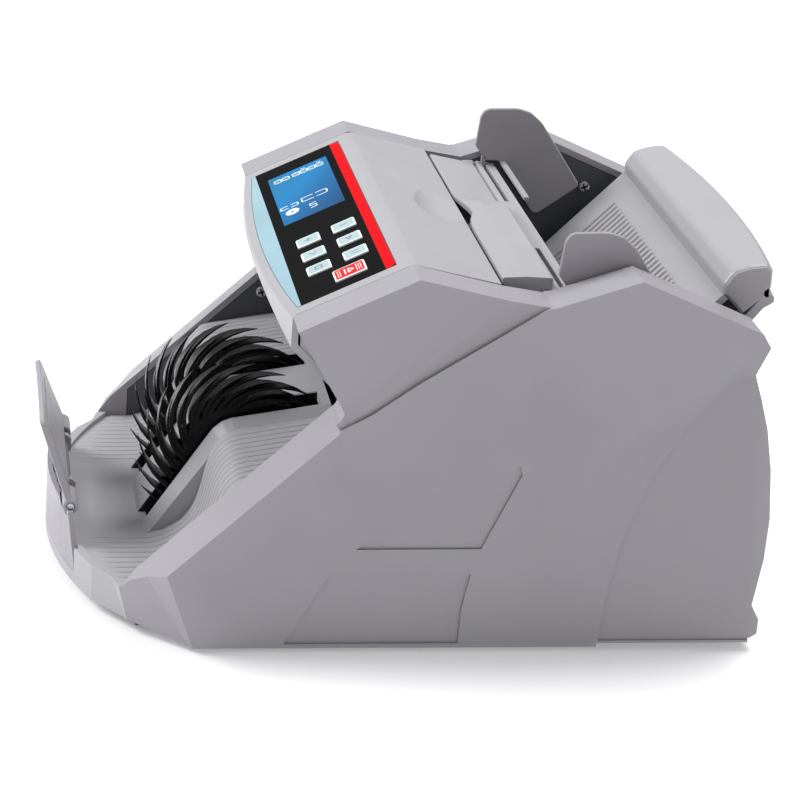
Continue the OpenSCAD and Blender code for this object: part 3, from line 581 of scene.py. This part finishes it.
def raw(build):
    """A bare mesh object, for use as a cutter"""
    bmesh.ops.remove_doubles(build.bm, verts=build.bm.verts, dist=1e-6)
    bmesh.ops.recalc_face_normals(build.bm, faces=build.bm.faces)
    mesh = bpy.data.meshes.new("cutter")
    build.bm.to_mesh(mesh)
    build.bm.free()
    obj = bpy.data.objects.new("cutter", mesh)
    bpy.context.scene.collection.objects.link(obj)
    return obj


def rounded_box(cx, cy, width, depth, radius, steps=4):
    x, y = width / 2, depth / 2
    corners = [(cx - x, cy - y), (cx + x, cy - y), (cx + x, cy + y), (cx - x, cy + y)]
    return fillet(corners, radius, steps)


# ---------------------------------------------------------------- console

BOW = 757.0
LCD = (-43.6, 24.4, 70.0, 30.0)
KEYS = [(22.5 + 18.5 * i, s) for s in (17.2, 34.0) for i in range(3)]
START = (77.3, 28.8)


def bow(x):
    """How far the console's front edge falls back beside the middle"""
    return BOW - math.sqrt(BOW * BOW - x * x)


def console_ring(x, sunk):
    """Section of the console's top cover: a bowed lip, the seat of the film, the crease and the top"""
    b = bow(x)
    front = -73 + b
    slope = 23.5 / 48.5
    lip_top = 142 + (front + 66.5) * slope
    lip_low = 134.07 - 0.963 * b
    film = front + 3.4
    seat = [(film, 142 + (film + 66.5) * slope), (film + 0.02, 142 + (film + 66.5) * slope - sunk)]
    rear = on_slope(0, 47.8, -sunk)[1:], on_slope(0, 47.83, 0)[1:]
    inside = [(20.2, 154.0), (-17.7, 161.4), (front + 5.5, 142.4 + (front + 5.5 + 66.5) * slope - 3.6),
              (front + 2.6, lip_top - 3.4), (front + 2.9, lip_low + 1.6), (-43.0, 109.0), (-40.2, 103.0)]
    points = [(-41.8, 100.5), (-45.4, 107.5), (front, lip_low), (front, lip_top), *seat, *rear,
              (-18, 165.5), (20.2, 157.6), *inside]
    radii = [0, 3, 1.8, 2.6, 0, 0, 0, 0, 9, 0.8] + [0] * 7
    return [(x, *p) for p in fillet(points, radii, 6)]


def key_cutter(extra):
    build = Build()
    for x, s in KEYS:
        build.mapped(rounded_box(x, s, 10 + 2 * extra, 11 + 2 * extra, 1.2), on_slope, -9, 4, "film")
    build.mapped(rounded_box(*START, 12.5 + 2 * extra, 14.5 + 2 * extra, 1.4), on_slope, -9, 4, "film")
    x, s, w, d = LCD
    build.mapped(rounded_box(x, s, w + 2 * extra, d + 2 * extra, 0.6), on_slope, -9, 4, "film")
    return raw(build)


def make_console():
    stations = [-98.7, -98.3, -95, -91.75]
    stations += [-91.7 + 183.4 * k / 30 for k in range(31)] + [91.75, 95, 98.3, 98.7]
    rings = []
    for x in stations:
        sunk = 0.8 if abs(x) <= 91.71 else 0.0
        rings.append(console_ring(x, sunk))
    cover = Build().loft(rings, "light_shell").piece("console_top", "chassis", ["console_cover"],
                                                     "light_shell")
    cut(cover, key_cutter(0.2))
    recess = Build()
    rings = []
    for k in range(1, 12):
        lat = -math.pi / 2 + math.pi * k / 12
        rings.append([(-1.5 + 31 * math.cos(lat) * math.cos(t), 14.5 + 16.5 * math.cos(lat) * math.sin(t),
                       164.4 + 7.6 * math.sin(lat)) for t in [2 * math.pi * j / 40 for j in range(40)]])
    cut(cover, raw(recess.loft(rings, "light_shell")))


def make_cheeks():
    """End walls of the console cover, inside the side covers"""
    build = Build()
    outline = fillet([(-42.2, 101.5), (-45.8, 108.3), (-62.5, 124.4), (-63, 141), (-18, 162.8), (19, 156),
                      (19, 151),
                      (-16, 151), (-38.5, 101.5)], [0.5, 3, 1, 1, 3, 0.5, 0.5, 3, 0.5], 4)
    for side in (-1, 1):
        low_x, high_x = sorted((side * 96.2, side * 98.4))
        build.across(outline, low_x, high_x, "light_shell", 0.3)
    build.piece("console_end_walls", "chassis", ["console_cover"], "light_shell")


def film_outline():
    """Plan of the printed film on the slope: bowed front, rounded rear corners"""
    front = []
    for k in range(25):
        x = -91.3 + 182.6 * k / 24
        y = -69.4 + bow(x)
        front.append((x, (y + 66.5) / math.cos(SLOPE)))
    rear = fillet([(91.3, 20), (91.3, 47.4), (-91.3, 47.4), (-91.3, 20)], [0, 3.5, 3.5, 0], 5)
    return front + rear


def make_film():
    build = Build()
    build.slot_of("film_pale"), build.slot_of("film"), build.slot_of("film_red")
    build.mapped(film_outline(), on_slope, -0.78, 0.05, "film_pale")
    obj = build.piece("panel_film", "chassis", ["panel_overlay"], "film")
    cut(obj, key_cutter(0.12))
    mesh = bmesh.new()
    mesh.from_mesh(obj.data)
    for s, last in ((4.6, 1), (43.0, 2)):
        at = (Vector(on_slope(0, s, 0)) + DESIGN_SHIFT) * MM
        up = Vector((0, math.cos(SLOPE), math.sin(SLOPE)))
        geometry = mesh.verts[:] + mesh.edges[:] + mesh.faces[:]
        bmesh.ops.bisect_plane(mesh, geom=geometry, plane_co=at, plane_no=up, dist=1e-7)
        for face in mesh.faces:
            if (face.calc_center_median() - at).dot(up) > 0:
                face.material_index = last
    mesh.to_mesh(obj.data)
    mesh.free()
    obj.data.set_sharp_from_angle(angle=math.radians(30))


def glyph(build, points, place, h, width, material):
    """A thin printed stroke along a list of points"""
    for (x0, s0), (x1, s1) in zip(points, points[1:]):
        along = Vector((x1 - x0, s1 - s0))
        if along.length < 1e-6:
            continue
        n = Vector((-along.y, along.x)).normalized() * width / 2
        e = along.normalized() * width / 2
        ring = [(x0 - n.x - e.x, s0 - n.y - e.y), (x0 + n.x - e.x, s0 + n.y - e.y),
                (x1 + n.x + e.x, s1 + n.y + e.y), (x1 - n.x + e.x, s1 - n.y + e.y)]
        build.mapped(ring, place, h, h + 0.06, material)


def frame_glyph(build, cx, cy, w, d, place, h, width, material):
    ring = rounded_box(cx, cy, w, d, min(w, d) * 0.25, 2)
    glyph(build, ring + ring[:1], place, h, width, material)


def make_display():
    x, s, w, d = LCD
    glass = Build()
    glass.mapped(rounded_box(x, s, w, d, 0.5), on_slope, -4.8, -0.12, "display", 0.25)
    glass.mapped(rounded_box(x, s, w + 6, d + 4, 1.0), on_slope, -8.0, -5.0, "black_plastic")
    glass.piece("display_glass", "chassis", ["display_module"], "display")
    print_ = Build()
    top = -0.13
    # counters and icons: two boxes, a gap, four boxes
    for k, along in enumerate((-10.6, -6.6, -1.4, 2.6, 6.6, 10.6)):
        frame_glyph(print_, x - 27, s + along, 4.6, 3.3, on_slope, top, 0.5, "print_white")
        for j in range(2):
            glyph(print_, [(x - 28.2 + 2.2 * j, s + along - 0.9), (x - 28.2 + 2.2 * j, s + along + 0.9)],
                  on_slope, top, 0.42, "print_white")
    for along in (2.6, 10.6):
        glyph(print_, [(x - 31.4, s + along - 0.9), (x - 30.3, s + along), (x - 31.4, s + along + 0.9)],
              on_slope, top, 0.4, "print_white")
    # open seven-segment figures
    for centre, length, wide in (((x + 12.6, s - 9.6), 8.6, 3.4), ((x + 11.4, s + 3.0), 12.6, 5.0)):
        cx, cs = centre
        half = length / 2
        glyph(print_, [(cx - wide / 2, cs + half * 0.9), (cx - wide / 2, cs + 0.9)], on_slope, top, 0.6,
              "print_white")
        glyph(print_, [(cx - wide / 2, cs - 0.9), (cx - wide / 2, cs - half), (cx + wide / 2, cs - half),
                       (cx + wide / 2, cs - 0.9)], on_slope, top, 0.6, "print_white")
        glyph(print_, [(cx - wide / 2, cs + half * 0.9), (cx, cs + half), (cx + wide / 2, cs + half * 0.9),
                       (cx + wide / 2, cs + 0.9)], on_slope, top, 0.6, "print_white")
    # small digit under the large figures
    for bars in ([(20.4, 2.2), (20.4, -0.6)], [(20.4, -0.6), (23.0, -0.6)], [(23.0, -0.6), (23.0, 2.2)],
                 [(23.0, 2.2), (26.0, 2.2)], [(26.0, 2.2), (26.0, -0.6)]):
        glyph(print_, [(x + a, s + b) for a, b in bars], on_slope, top, 0.6, "print_white")
    oval = [(x + 20.8 + 3.6 * math.cos(t), s - 9.2 + 3.3 * math.sin(t))
            for t in [2 * math.pi * k / 24 for k in range(24)]]
    print_.mapped(oval, on_slope, top, top + 0.08, "print_white")
    print_.mapped([(x + 20.8 + 1.2 * math.cos(t), s - 9.2 + 0.9 * math.sin(t))
                   for t in [2 * math.pi * k / 16 for k in range(16)]], on_slope, top, top + 0.12,
                   "print_grey")
    print_.piece("display_marks", "chassis", slot="display")


KEY_MARKS = {
    1: [[(-2, 0), (2, 0)], [(0, -2), (0, 2)]],
    2: [[(-1.4, -2), (1.6, 0), (-1.4, 2)]],
    3: [[(-1.8, -1.8), (1.8, -1.8), (1.8, 1.8), (-1.8, 1.8), (-1.8, -1.8)]],
    4: [[(0, -2), (0, 2)]],
    5: [[(-1.8, -1.6), (1.6, 0), (-1.8, 1.6), (-1.8, -1.6)]],
    6: [[(-1.6, -2), (-1.6, 2)], [(1.6, -2), (1.6, 2)]],
}


def make_keys():
    for number, (x, s) in enumerate(KEYS, start=1):
        build = Build()
        build.mapped(rounded_box(x, s, 10, 11, 1.2), on_slope, -2.8, 0.75, "print_white", 0.3)
        build.mapped(rounded_box(x, s, 8.4, 9.4, 0.8), on_slope, 0.4, 0.82, "key", 0.1)
        build.box((x - 2, s - 2, -4.1), (x + 2, s + 2, -2.6), "black_plastic", on_slope)
        for stroke in KEY_MARKS[number]:
            glyph(build, [(x + a * 0.8, s + b * 0.8) for a, b in stroke], on_slope, 0.8, 0.55, "print_grey")
        build.piece(f"key_cap_{number}", f"key_{number}_cap", [f"key_{number}"], "key")
    x, s = START
    build = Build()
    build.mapped(rounded_box(x, s, 12.5, 14.5, 1.4), on_slope, -2.8, 0.75, "print_white", 0.3)
    build.mapped(rounded_box(x, s, 10.9, 12.9, 1.0), on_slope, 0.4, 0.82, "key_red", 0.1)
    build.box((x - 2, s - 2, -4.1), (x + 2, s + 2, -2.6), "black_plastic", on_slope)
    for k in (-5.2, -4.2, 3.2, 4.2, 5.2):
        glyph(build, [(x - 3.6, s + k), (x + 3.6, s + k)], on_slope, 0.8, 0.3, "print_white")
    glyph(build, [(x - 2.6, s - 2.0), (x + 2.6, s - 2.0)], on_slope, 0.8, 0.7, "print_white")
    glyph(build, [(x - 2.2, s - 0.4), (x + 2.2, s - 0.4), (x, s + 1.9), (x - 2.2, s - 0.4)],
          on_slope, 0.8, 0.6, "print_white")
    build.piece("key_cap_start", "key_start_cap", ["key_start"], "key_red")


# ---------------------------------------------------------------- flap, rail

def make_flap():
    rings = []
    stations = [-92.3, -92.0] + [-90 + 180 * k / 60 for k in range(61)] + [92.0, 92.3]
    for x in stations:
        w = smooth_step((x + 34) / 24)
        notch = 4.2 * smooth_step(1 - abs(x + 1.5) / 27.0)
        front = 21.5 + notch * (1 - 0.55 * smooth_step((x + 4) / 20))
        top_front = 157.5 - 0.19 * (front - 21.5) + 0.9 * w
        top_rear = 153.5 + 5.1 * w
        sag = 0.5 * math.sin(math.pi * w)
        points = [(front, top_front - 2.4 - 0.3 * w), (front, top_front),
                  (32, (top_front + top_rear) / 2 + 0.5 * w - sag),
                  (43.2, top_rear), (43.2, 151.1), (32, 152.7), (front + 1.6, 154.6)]
        rings.append([(x, *p) for p in fillet(points, [0.5, 0.9, 6, 0.9, 0.4, 0, 0.4], 4)])
    build = Build().loft(rings, "light_shell")
    for side in (-1, 1):
        build.rod((41.5, 151.6), 1.5, side * 92.1, side * 95.4, "light_shell", 24, 0.2)
    build.piece("jam_flap_cover", "flap", ["jam_flap"], "light_shell", bevel=0.25, angle=40)


# ---------------------------------------------------------------- hopper

GUIDE = [(48.7, 154.2), (47.6, 157), (44.2, 161.5), (45.6, 176), (47.4, 179), (50, 180), (64, 180.6),
         (70.5, 178.6), (76.5, 173.5),
         (97, 144.2), (97.2, 142), (78.5, 128.2), (75.6, 128), (56, 154.2)]
GUIDE_ROUND = [1.5, 1.5, 2.5, 12, 3, 3, 14, 6, 10, 1.5, 1.5, 3, 3, 2]


def make_guides():
    outline = fillet(GUIDE, GUIDE_ROUND, 5)
    for name, side in (("left", -1), ("right", 1)):
        build = Build()
        build.across(outline, side * 94.7, side * 97.3, "shell", 0.75)
        build.box((side * 96 - 1.3, 47.9, 145), (side * 96 + 1.3, 49.7, 156), "shell")
        low, high = sorted((side * 76, side * 96))
        build.box((low, 47.9, 147), (high, 49.7, 150), "shell")
        if side < 0:
            build.across(fillet([(57, 152.6), (57, 154.2), (59.6, 154.2), (59.6, 152.6)], 0.3, 2),
                         -96, -36, "shell", 0.3, 2)
        build.piece(f"side_guide_{name}", f"{name}_guide", [f"guide_{name}"], "shell")


def tray_bar_ring(x):
    b = 608 - math.sqrt(608 * 608 - x * x)
    rear = 146.0 - b
    points = [(118.2, 151.7), (117.7, 156.6), (121.6, 162.9), (129, 165.3), (rear - 3, 166.2), (rear, 163),
              (rear + 0.2, 155), (rear - 2.5, 153.0), (138.6, 153.2), (127.8, 142.8), (119.6, 151.1)]
    return [(x, *p) for p in fillet(points, [0, 4, 7, 9, 3, 3, 1.5, 1.5, 0, 0, 0], 6)]


def make_tray():
    build = Build()
    # ribbed sheet: the cross-section runs along X, lofted down the slope
    ribs = [-70 + i * 140 / 28 for i in range(28)]

    def across_ring(v, depth):
        top = [(-90, 0.0)]
        for x in ribs:
            for dx, h in ((0.9, 0), (1.35, -1), (3.65, -1), (4.1, 0)):
                top.append((x + dx, h * depth))
        top.append((90, 0.0))
        return [on_tray(x, v, h) for x, h in top] + [on_tray(90, v, -3), on_tray(-90, v, -3)]

    rings = [across_ring(-69, 0.9), across_ring(-15, 0.9), across_ring(-13.4, 0.7), across_ring(-12.6, 0.35),
             across_ring(-12.2, 0.0), across_ring(0.5, 0.0)]
    build.loft(rings, "light_shell")
    toe = fillet([(70.6, 102.2), (66, 100.3), (61.5, 100), (61.5, 98), (67, 98), (73, 100.6)],
                 [0, 3, 0.5, 0.5, 3, 0], 4)
    build.across(toe, -90, 90, "light_shell")
    stations = [-91, -90.6, -89.6, -88] + [-86 + 172 * k / 24 for k in range(25)] + [88, 89.6, 90.6, 91]
    rings = []
    for x in stations:
        ring = tray_bar_ring(x)
        inset = max(0.0,
                    2.0 * (1 - math.sqrt(max(0.0, 1 - ((abs(x) - 88) / 3) ** 2)))) if abs(x) > 88 else 0.0
        flat = shrunk([p[1:] for p in ring], inset)
        rings.append([(x, *p) for p in flat])
    build.loft(rings, "light_shell")
    for side in (-1, 1):
        for x, w, top in ((94.2, 4.3, -3.2), (88.2, 1.7, -2)):
            low, high = sorted((side * (x - w), side * (x + w)))
            build.box((low, -30, -9), (high, -14, top), "light_shell", on_tray)
    obj = build.piece("hopper_tray_cover", "chassis", ["hopper_tray"], "light_shell", angle=28)
    # Known fault: the end supports share an edge, so this cut leaves blocks where the
    # windows should be, and loses the left outer support.
    windows = Build()
    for x in (-30, 30):
        windows.mapped(rounded_box(x, -45.5, 16, 25, 1.5), on_tray, -6, 6, "light_shell")
    cut(obj, raw(windows))


def rear_shell_ring(x):
    """Section of the shell behind the bar at x"""
    b = 608 - math.sqrt(608 * 608 - x * x)
    points = [(136, 152.9), (147.4 - b, 152.2), (147.6 - b, 149.4), (145.6 - b, 148), (136.4, 146.6),
              (131, 139.4),
              (128, 130), (125.4, 130), (127.9, 142.3)]
    return [(x, *p) for p in fillet(points, [0, 1, 1, 1, 2, 2, 0.5, 0.5, 0], 3)]


def make_tray_ends():
    """End plates that close the thick bar, and the shell behind it"""
    build = Build()
    for side in (-1, 1):
        ring = shrunk([p[1:] for p in tray_bar_ring(91 * side)], 1.2)
        build.across(ring, side * 90.4, side * 91.6, "shell", 0.35, 2)
        end = [p[1:] for p in rear_shell_ring(91 * side)]
        build.across(end, side * 90.4, side * 91.6, "shell", 0.3, 2)
    build.loft([rear_shell_ring(-91 + 182 * k / 24) for k in range(25)], "shell")
    build.piece("tray_shell_rear", "chassis", ["tray_rear_shell"], "shell")


# ---------------------------------------------------------------- stacker

DECK_SIDE = [(-160, 18.6), (-150, 18), (-134, 17), (-118, 17.2), (-107, 21.5), (-100.5, 27), (-96, 36),
             (-93, 50),
             (-89.5, 60), (-84, 65.6), (-78, 67.2), (-49, 72.4), (-38, 74.2)]
DECK_MIDDLE = [(-124, 16.6), (-121, 17.0), (-118.4, 21), (-94.2, 58.6), (-90, 65), (-86, 68.4), (-82, 69.9),
               (-38, 77.7)]
FLANK_LOW = [(-124, 16.6), (-119, 17.0), (-116.5, 18), (-93.2, 51.9), (-86.8, 62.6), (-84, 64.4),
             (-80.8, 66),
             (-38, 73.9)]


def deck_front(x):
    return -155.8 + 190 - math.sqrt(190 * 190 - x * x)


def side_path(x, raised):
    """Top line of the side floor at x: the floor from the nose, the rise, the plateau"""
    start = deck_front(x)
    floor_ = [(start + (-117 - start) * k / 6, 0) for k in range(6)]
    path = [(y, between(DECK_SIDE, y)) for y, _ in floor_]
    rest = [(-117.0, 17.3), (-111, 19.2), (-106.8, 21.8), (-103.4, 24.2), (-100.6, 27.4), (-98.2, 31.4),
            (-96.3, 36.6), (-94.7, 43), (-93.2, 50), (-91.6, 55.4), (-89.4, 60.2), (-86.8, 63.6),
            (-83.8, 65.8),
            (-80, 66.9), (-72, 68.3), (-60, 70.5), (-49, 72.4), (-38, 74.2)]
    points = [Vector(p) for p in path + rest]
    out = []
    for i, p in enumerate(points):
        way = (points[min(i + 1, len(points) - 1)] - points[max(i - 1, 0)]).normalized()
        n = Vector((-way.y, way.x))
        lift = raised * (smooth_step(i / 1.5) if i < 2 else 1.0)
        out.append(p + n * lift)
    return out


def closed_below(path, drop):
    """Ring of a sheet: its top line, then its underside back again"""
    under = [(p[0] + 0.55 * drop, p[1] - 0.85 * drop) for p in reversed(path)]
    return [tuple(p) for p in path] + under


def make_deck():
    build = Build()
    for side in (-1, 1):
        rings = [[(side * 35, *p) for p in closed_below(side_path(35, 0), 2.5)]]
        for k in range(11):
            x = 43 + 5.0 * k
            for dx, h in ((0.0, 0.0), (0.35, 0.34), (0.8, 0.45), (2.6, 0.45), (3.1, 0.34), (3.4, 0.0)):
                rings.append([(side * (x + dx), *p) for p in closed_below(side_path(x + dx, h), 2.5)])
        rings.append([(side * 98.7, *p) for p in closed_below(side_path(98.7, 0), 2.5)])
        build.loft(rings, "light_shell")
    # middle strip of the floor, in front of the slots
    rings = []
    for k in range(13):
        x = -35.2 + 70.4 * k / 12
        path = side_path(x, 0)[:7]
        rings.append([(x, *p) for p in closed_below(path, 2.5)])
    build.loft(rings, "light_shell")
    middle = fillet_open(DECK_MIDDLE, [0, 1, 1.5, 3, 6, 6, 3, 0], 4)
    low = fillet_open(FLANK_LOW, [0, 1, 1.5, 3, 6, 6, 3, 0], 4)
    base = [(-36, 71.5), (-49, 70), (-78, 64.6), (-84, 61), (-88.5, 55), (-91.5, 44), (-94.5, 33),
            (-98.5, 25.5),
            (-106, 18.6), (-118, 14.6)]
    for side in (-1, 1):
        rings = []
        for x, path in ((40.0, low), (39.6, [(a, b + 0.35) for a, b in low]),
                        (34.3, [(a, b - 0.25) for a, b in middle]),
                        (33.6, middle), (33.0, middle), (32.5, [(a, b - 0.5) for a, b in middle])):
            rings.append([(side * x, *p) for p in list(path) + base])
        # the end face towards the slot is black: painted shade on a slot wall that is deck plastic
        build.loft(rings, "light_shell", last="black_plastic")
    # middle block between the slots; its two end faces, the slot walls, are black: painted shade on deck
    # plastic
    rings = []
    for x, lift in ((-17.5, -0.5), (-17.0, 0), (17.0, 0), (17.5, -0.5)):
        rings.append([(x, p[0], p[1] + lift) for p in middle] + [(x, *p) for p in base])
    build.loft(rings, "light_shell", first="black_plastic", last="black_plastic")
    # black trough under the slots: painted shade seen through the slots
    trough = [(-125, 13.0), (-116, 13.4)] + [(-80 + 45.2 * math.cos(t), 50 + 45.2 * math.sin(t))
                                             for t in [math.radians(233 + 9.0 * k) for k in range(18)]]
    for side in (-1, 1):
        low_x, high_x = sorted((side * 17.4, side * 32.6))
        build.across(closed_below(trough, 1.0), low_x, high_x, "black_plastic")
    for side in (-1, 1):
        low_x, high_x = sorted((side * 17, side * 33))
        build.across([(-42, 77.0), (-38, 77.7), (-38, 74), (-42, 73)], low_x, high_x, "light_shell")
    build.piece("stacker_floor", "chassis", ["stacker_deck"], "light_shell", angle=30)


def fillet_open(points, radii, steps):
    """Open line with rounded corners, ends kept"""
    closed = fillet(points, [0, *radii[1:-1], 0], steps)
    return closed


FINGER_COUNT = 20


def finger_line(t, sweep, reach, root=12.8):
    r = root + (reach - root) * t ** 0.92
    a = -math.radians(sweep) * t ** 1.3
    return Vector((r * math.cos(a), r * math.sin(a)))


def add_finger(build, x, turn, sweep, reach, width, twist):
    """One tapered rubber blade, swept back from the hub, narrowing to a point"""
    rings = []
    steps = 12
    spin = Matrix.Rotation(turn, 2)
    for k in range(steps + 1):
        t = k / steps
        p = finger_line(t, sweep, reach)
        way = (finger_line(min(1, t + 0.02), sweep, reach) - finger_line(max(0, t - 0.02), sweep,
                                                                         reach)).normalized()
        n = Vector((-way.y, way.x))
        thick = 2.5 * (1 - t) ** 0.7 + 0.2
        half = width / 2 * (1 - max(0.0, (t - 0.66) / 0.34) ** 1.3 * 0.96)
        lean = twist * t * t
        ring = []
        for u, v in ((-1, -1), (-0.5, -1.25), (0.5, -1.25), (1, -1), (1, 1), (0.5, 0.7), (-0.5, 0.7),
                     (-1, 1)):
            q = spin @ (p + n * (v * thick / 2))
            ring.append((x + u * half + lean, -80 + q.x, 50 + q.y))
        rings.append(ring)
    build.loft(rings, "finger")


def make_fingers():
    build = Build()
    for wheel, offset in ((-25, 0.0), (25, 0.16)):
        rim = [(12.0, 5.0), (21.5, 5.0), (23.4, 4.2), (24.0, 0.0), (23.4, -4.2), (21.5, -5.0), (12.0, -5.0)]
        rings = []
        for k in range(48):
            a = 2 * math.pi * k / 48
            rings.append([(wheel + w, -80 + r * math.cos(a), 50 + r * math.sin(a)) for r, w in rim])
        build.loft(rings, "finger", loop=True, caps=False)
        for k in range(FINGER_COUNT):
            jitter = math.sin(12.9898 * (k + 1) + wheel) * 0.5
            turn = 2 * math.pi * k / FINGER_COUNT + offset
            add_finger(build, wheel, turn, 76 + 6 * jitter, 43.4, 10.6, 0.8 * jitter)
            add_finger(build, wheel - 1.2 * jitter, turn + 0.16, 66 + 10 * jitter, 39.0 + 2 * jitter, 9.6,
                       -jitter)
    build.piece("rubber_fingers", "stacker", ["stacker_fingers"], "finger", angle=38)


# ---------------------------------------------------------------- front stop, screws

STOP_LEAN = math.radians(20.0)


def on_stop(x, up, out):
    """Point on the stop plate: across, up the plate from its pin, towards the stack"""
    return (x, -152.5 - up * math.sin(STOP_LEAN) + out * math.cos(STOP_LEAN),
            34 + up * math.cos(STOP_LEAN) + out * math.sin(STOP_LEAN))


def make_stop():
    outline = fillet([(-50.3, 2.3), (-37.4, 38.4), (-24, 37.2), (24, 37.2), (37.4, 38.4), (50.3, 2.3),
                      (34, 2.3),
                      (34, 3.8), (-34, 3.8), (-34, 2.3)], [1, 4, 14, 14, 4, 1, 0.5, 0.5, 0.5, 0.5], 5)
    build = Build()
    rim = 0.7
    rings = []
    for h, t in ((-1.3, rim), (-1.1, 0.2), (-0.9, 0.0), (0.9, 0.0), (1.1, 0.2), (1.3, rim)):
        rings.append([on_stop(*p, h) for p in shrunk(outline, t)])
    build.loft(rings, "shell")
    # raised field on the side of the stack, with a slanted band along both edges
    field = fillet([(-40, 5.4), (-27.5, 33), (27.5, 33), (40, 5.4)], [2, 4, 4, 2], 4)
    build.mapped(field, on_stop, 1.1, 1.75, "shell", 0.4)
    for side in (-1, 1):
        # knuckle with an open bore for the pin
        tube = [(1.85, 7.9), (3.1, 7.9), (3.4, 7.6), (3.4, -7.6), (3.1, -7.9), (1.85, -7.9)]
        rings = [[(side * 42.1 + w, -152.5 + r * math.cos(a), 34 + r * math.sin(a)) for r, w in tube]
                 for a in [2 * math.pi * k / 40 for k in range(40)]]
        build.loft(rings, "shell", loop=True, caps=False)
    build.piece("stop_plate_cover", "stop", ["stop_plate"], "shell")


def make_screws():
    """Pan heads with the cross recess laid on as a black cross, painted shade; their shanks hidden in the
    frame plates
    """
    build = Build()
    for side in (-1, 1):
        for y, z in ((-55.3, 83.4), (100.9, 141.2), (110, 60), (-20, 20)):
            profile = [(SEAM + 0.3, 3.0), (SEAM - 0.5, 3.0), (SEAM - 1.2, 2.7), (SEAM - 1.6, 2.1)]
            rings = [[(side * x, y + r * math.cos(a), z + r * math.sin(a))
                      for a in [2 * math.pi * k / 28 for k in range(28)]] for x, r in profile]
            build.loft(rings, "steel")
            # the cross recess is not cut: a black cross laid on the head is painted shade
            for turn in (0.35, 0.35 + math.pi / 2):
                c, d = math.cos(turn), math.sin(turn)
                ring = [(y + u * c - v * d, z + u * d + v * c) for u,
                        v in ((-1.9, -0.45), (1.9, -0.45), (1.9, 0.45), (-1.9, 0.45))]
                low_x, high_x = sorted((side * (SEAM - 1.68), side * (SEAM - 1.0)))
                build.across(ring, low_x, high_x, "black_plastic")
            build.rod((y, z), 1.6, *sorted((side * SEAM, side * (SEAM + 6))), "steel", 20)
    build.piece("cross_head_screws", "chassis", ["frame_screws"], "steel")


make_camera()
make_light()
dress_cad()
make_console()
make_cheeks()
make_film()
make_display()
make_keys()
make_flap()
make_guides()
make_tray()
make_tray_ends()
make_deck()
make_fingers()
make_stop()
make_screws()

floor_mesh = bpy.data.meshes.new("floor")
floor_mesh.from_pydata([(-4, -4, 0), (4, -4, 0), (4, 4, 0), (-4, 4, 0)], [], [(0, 1, 2, 3)])
floor = bpy.data.objects.new("floor", floor_mesh)
floor.data.materials.append(floor_paper("floor_paper"))
bpy.context.scene.collection.objects.link(floor)
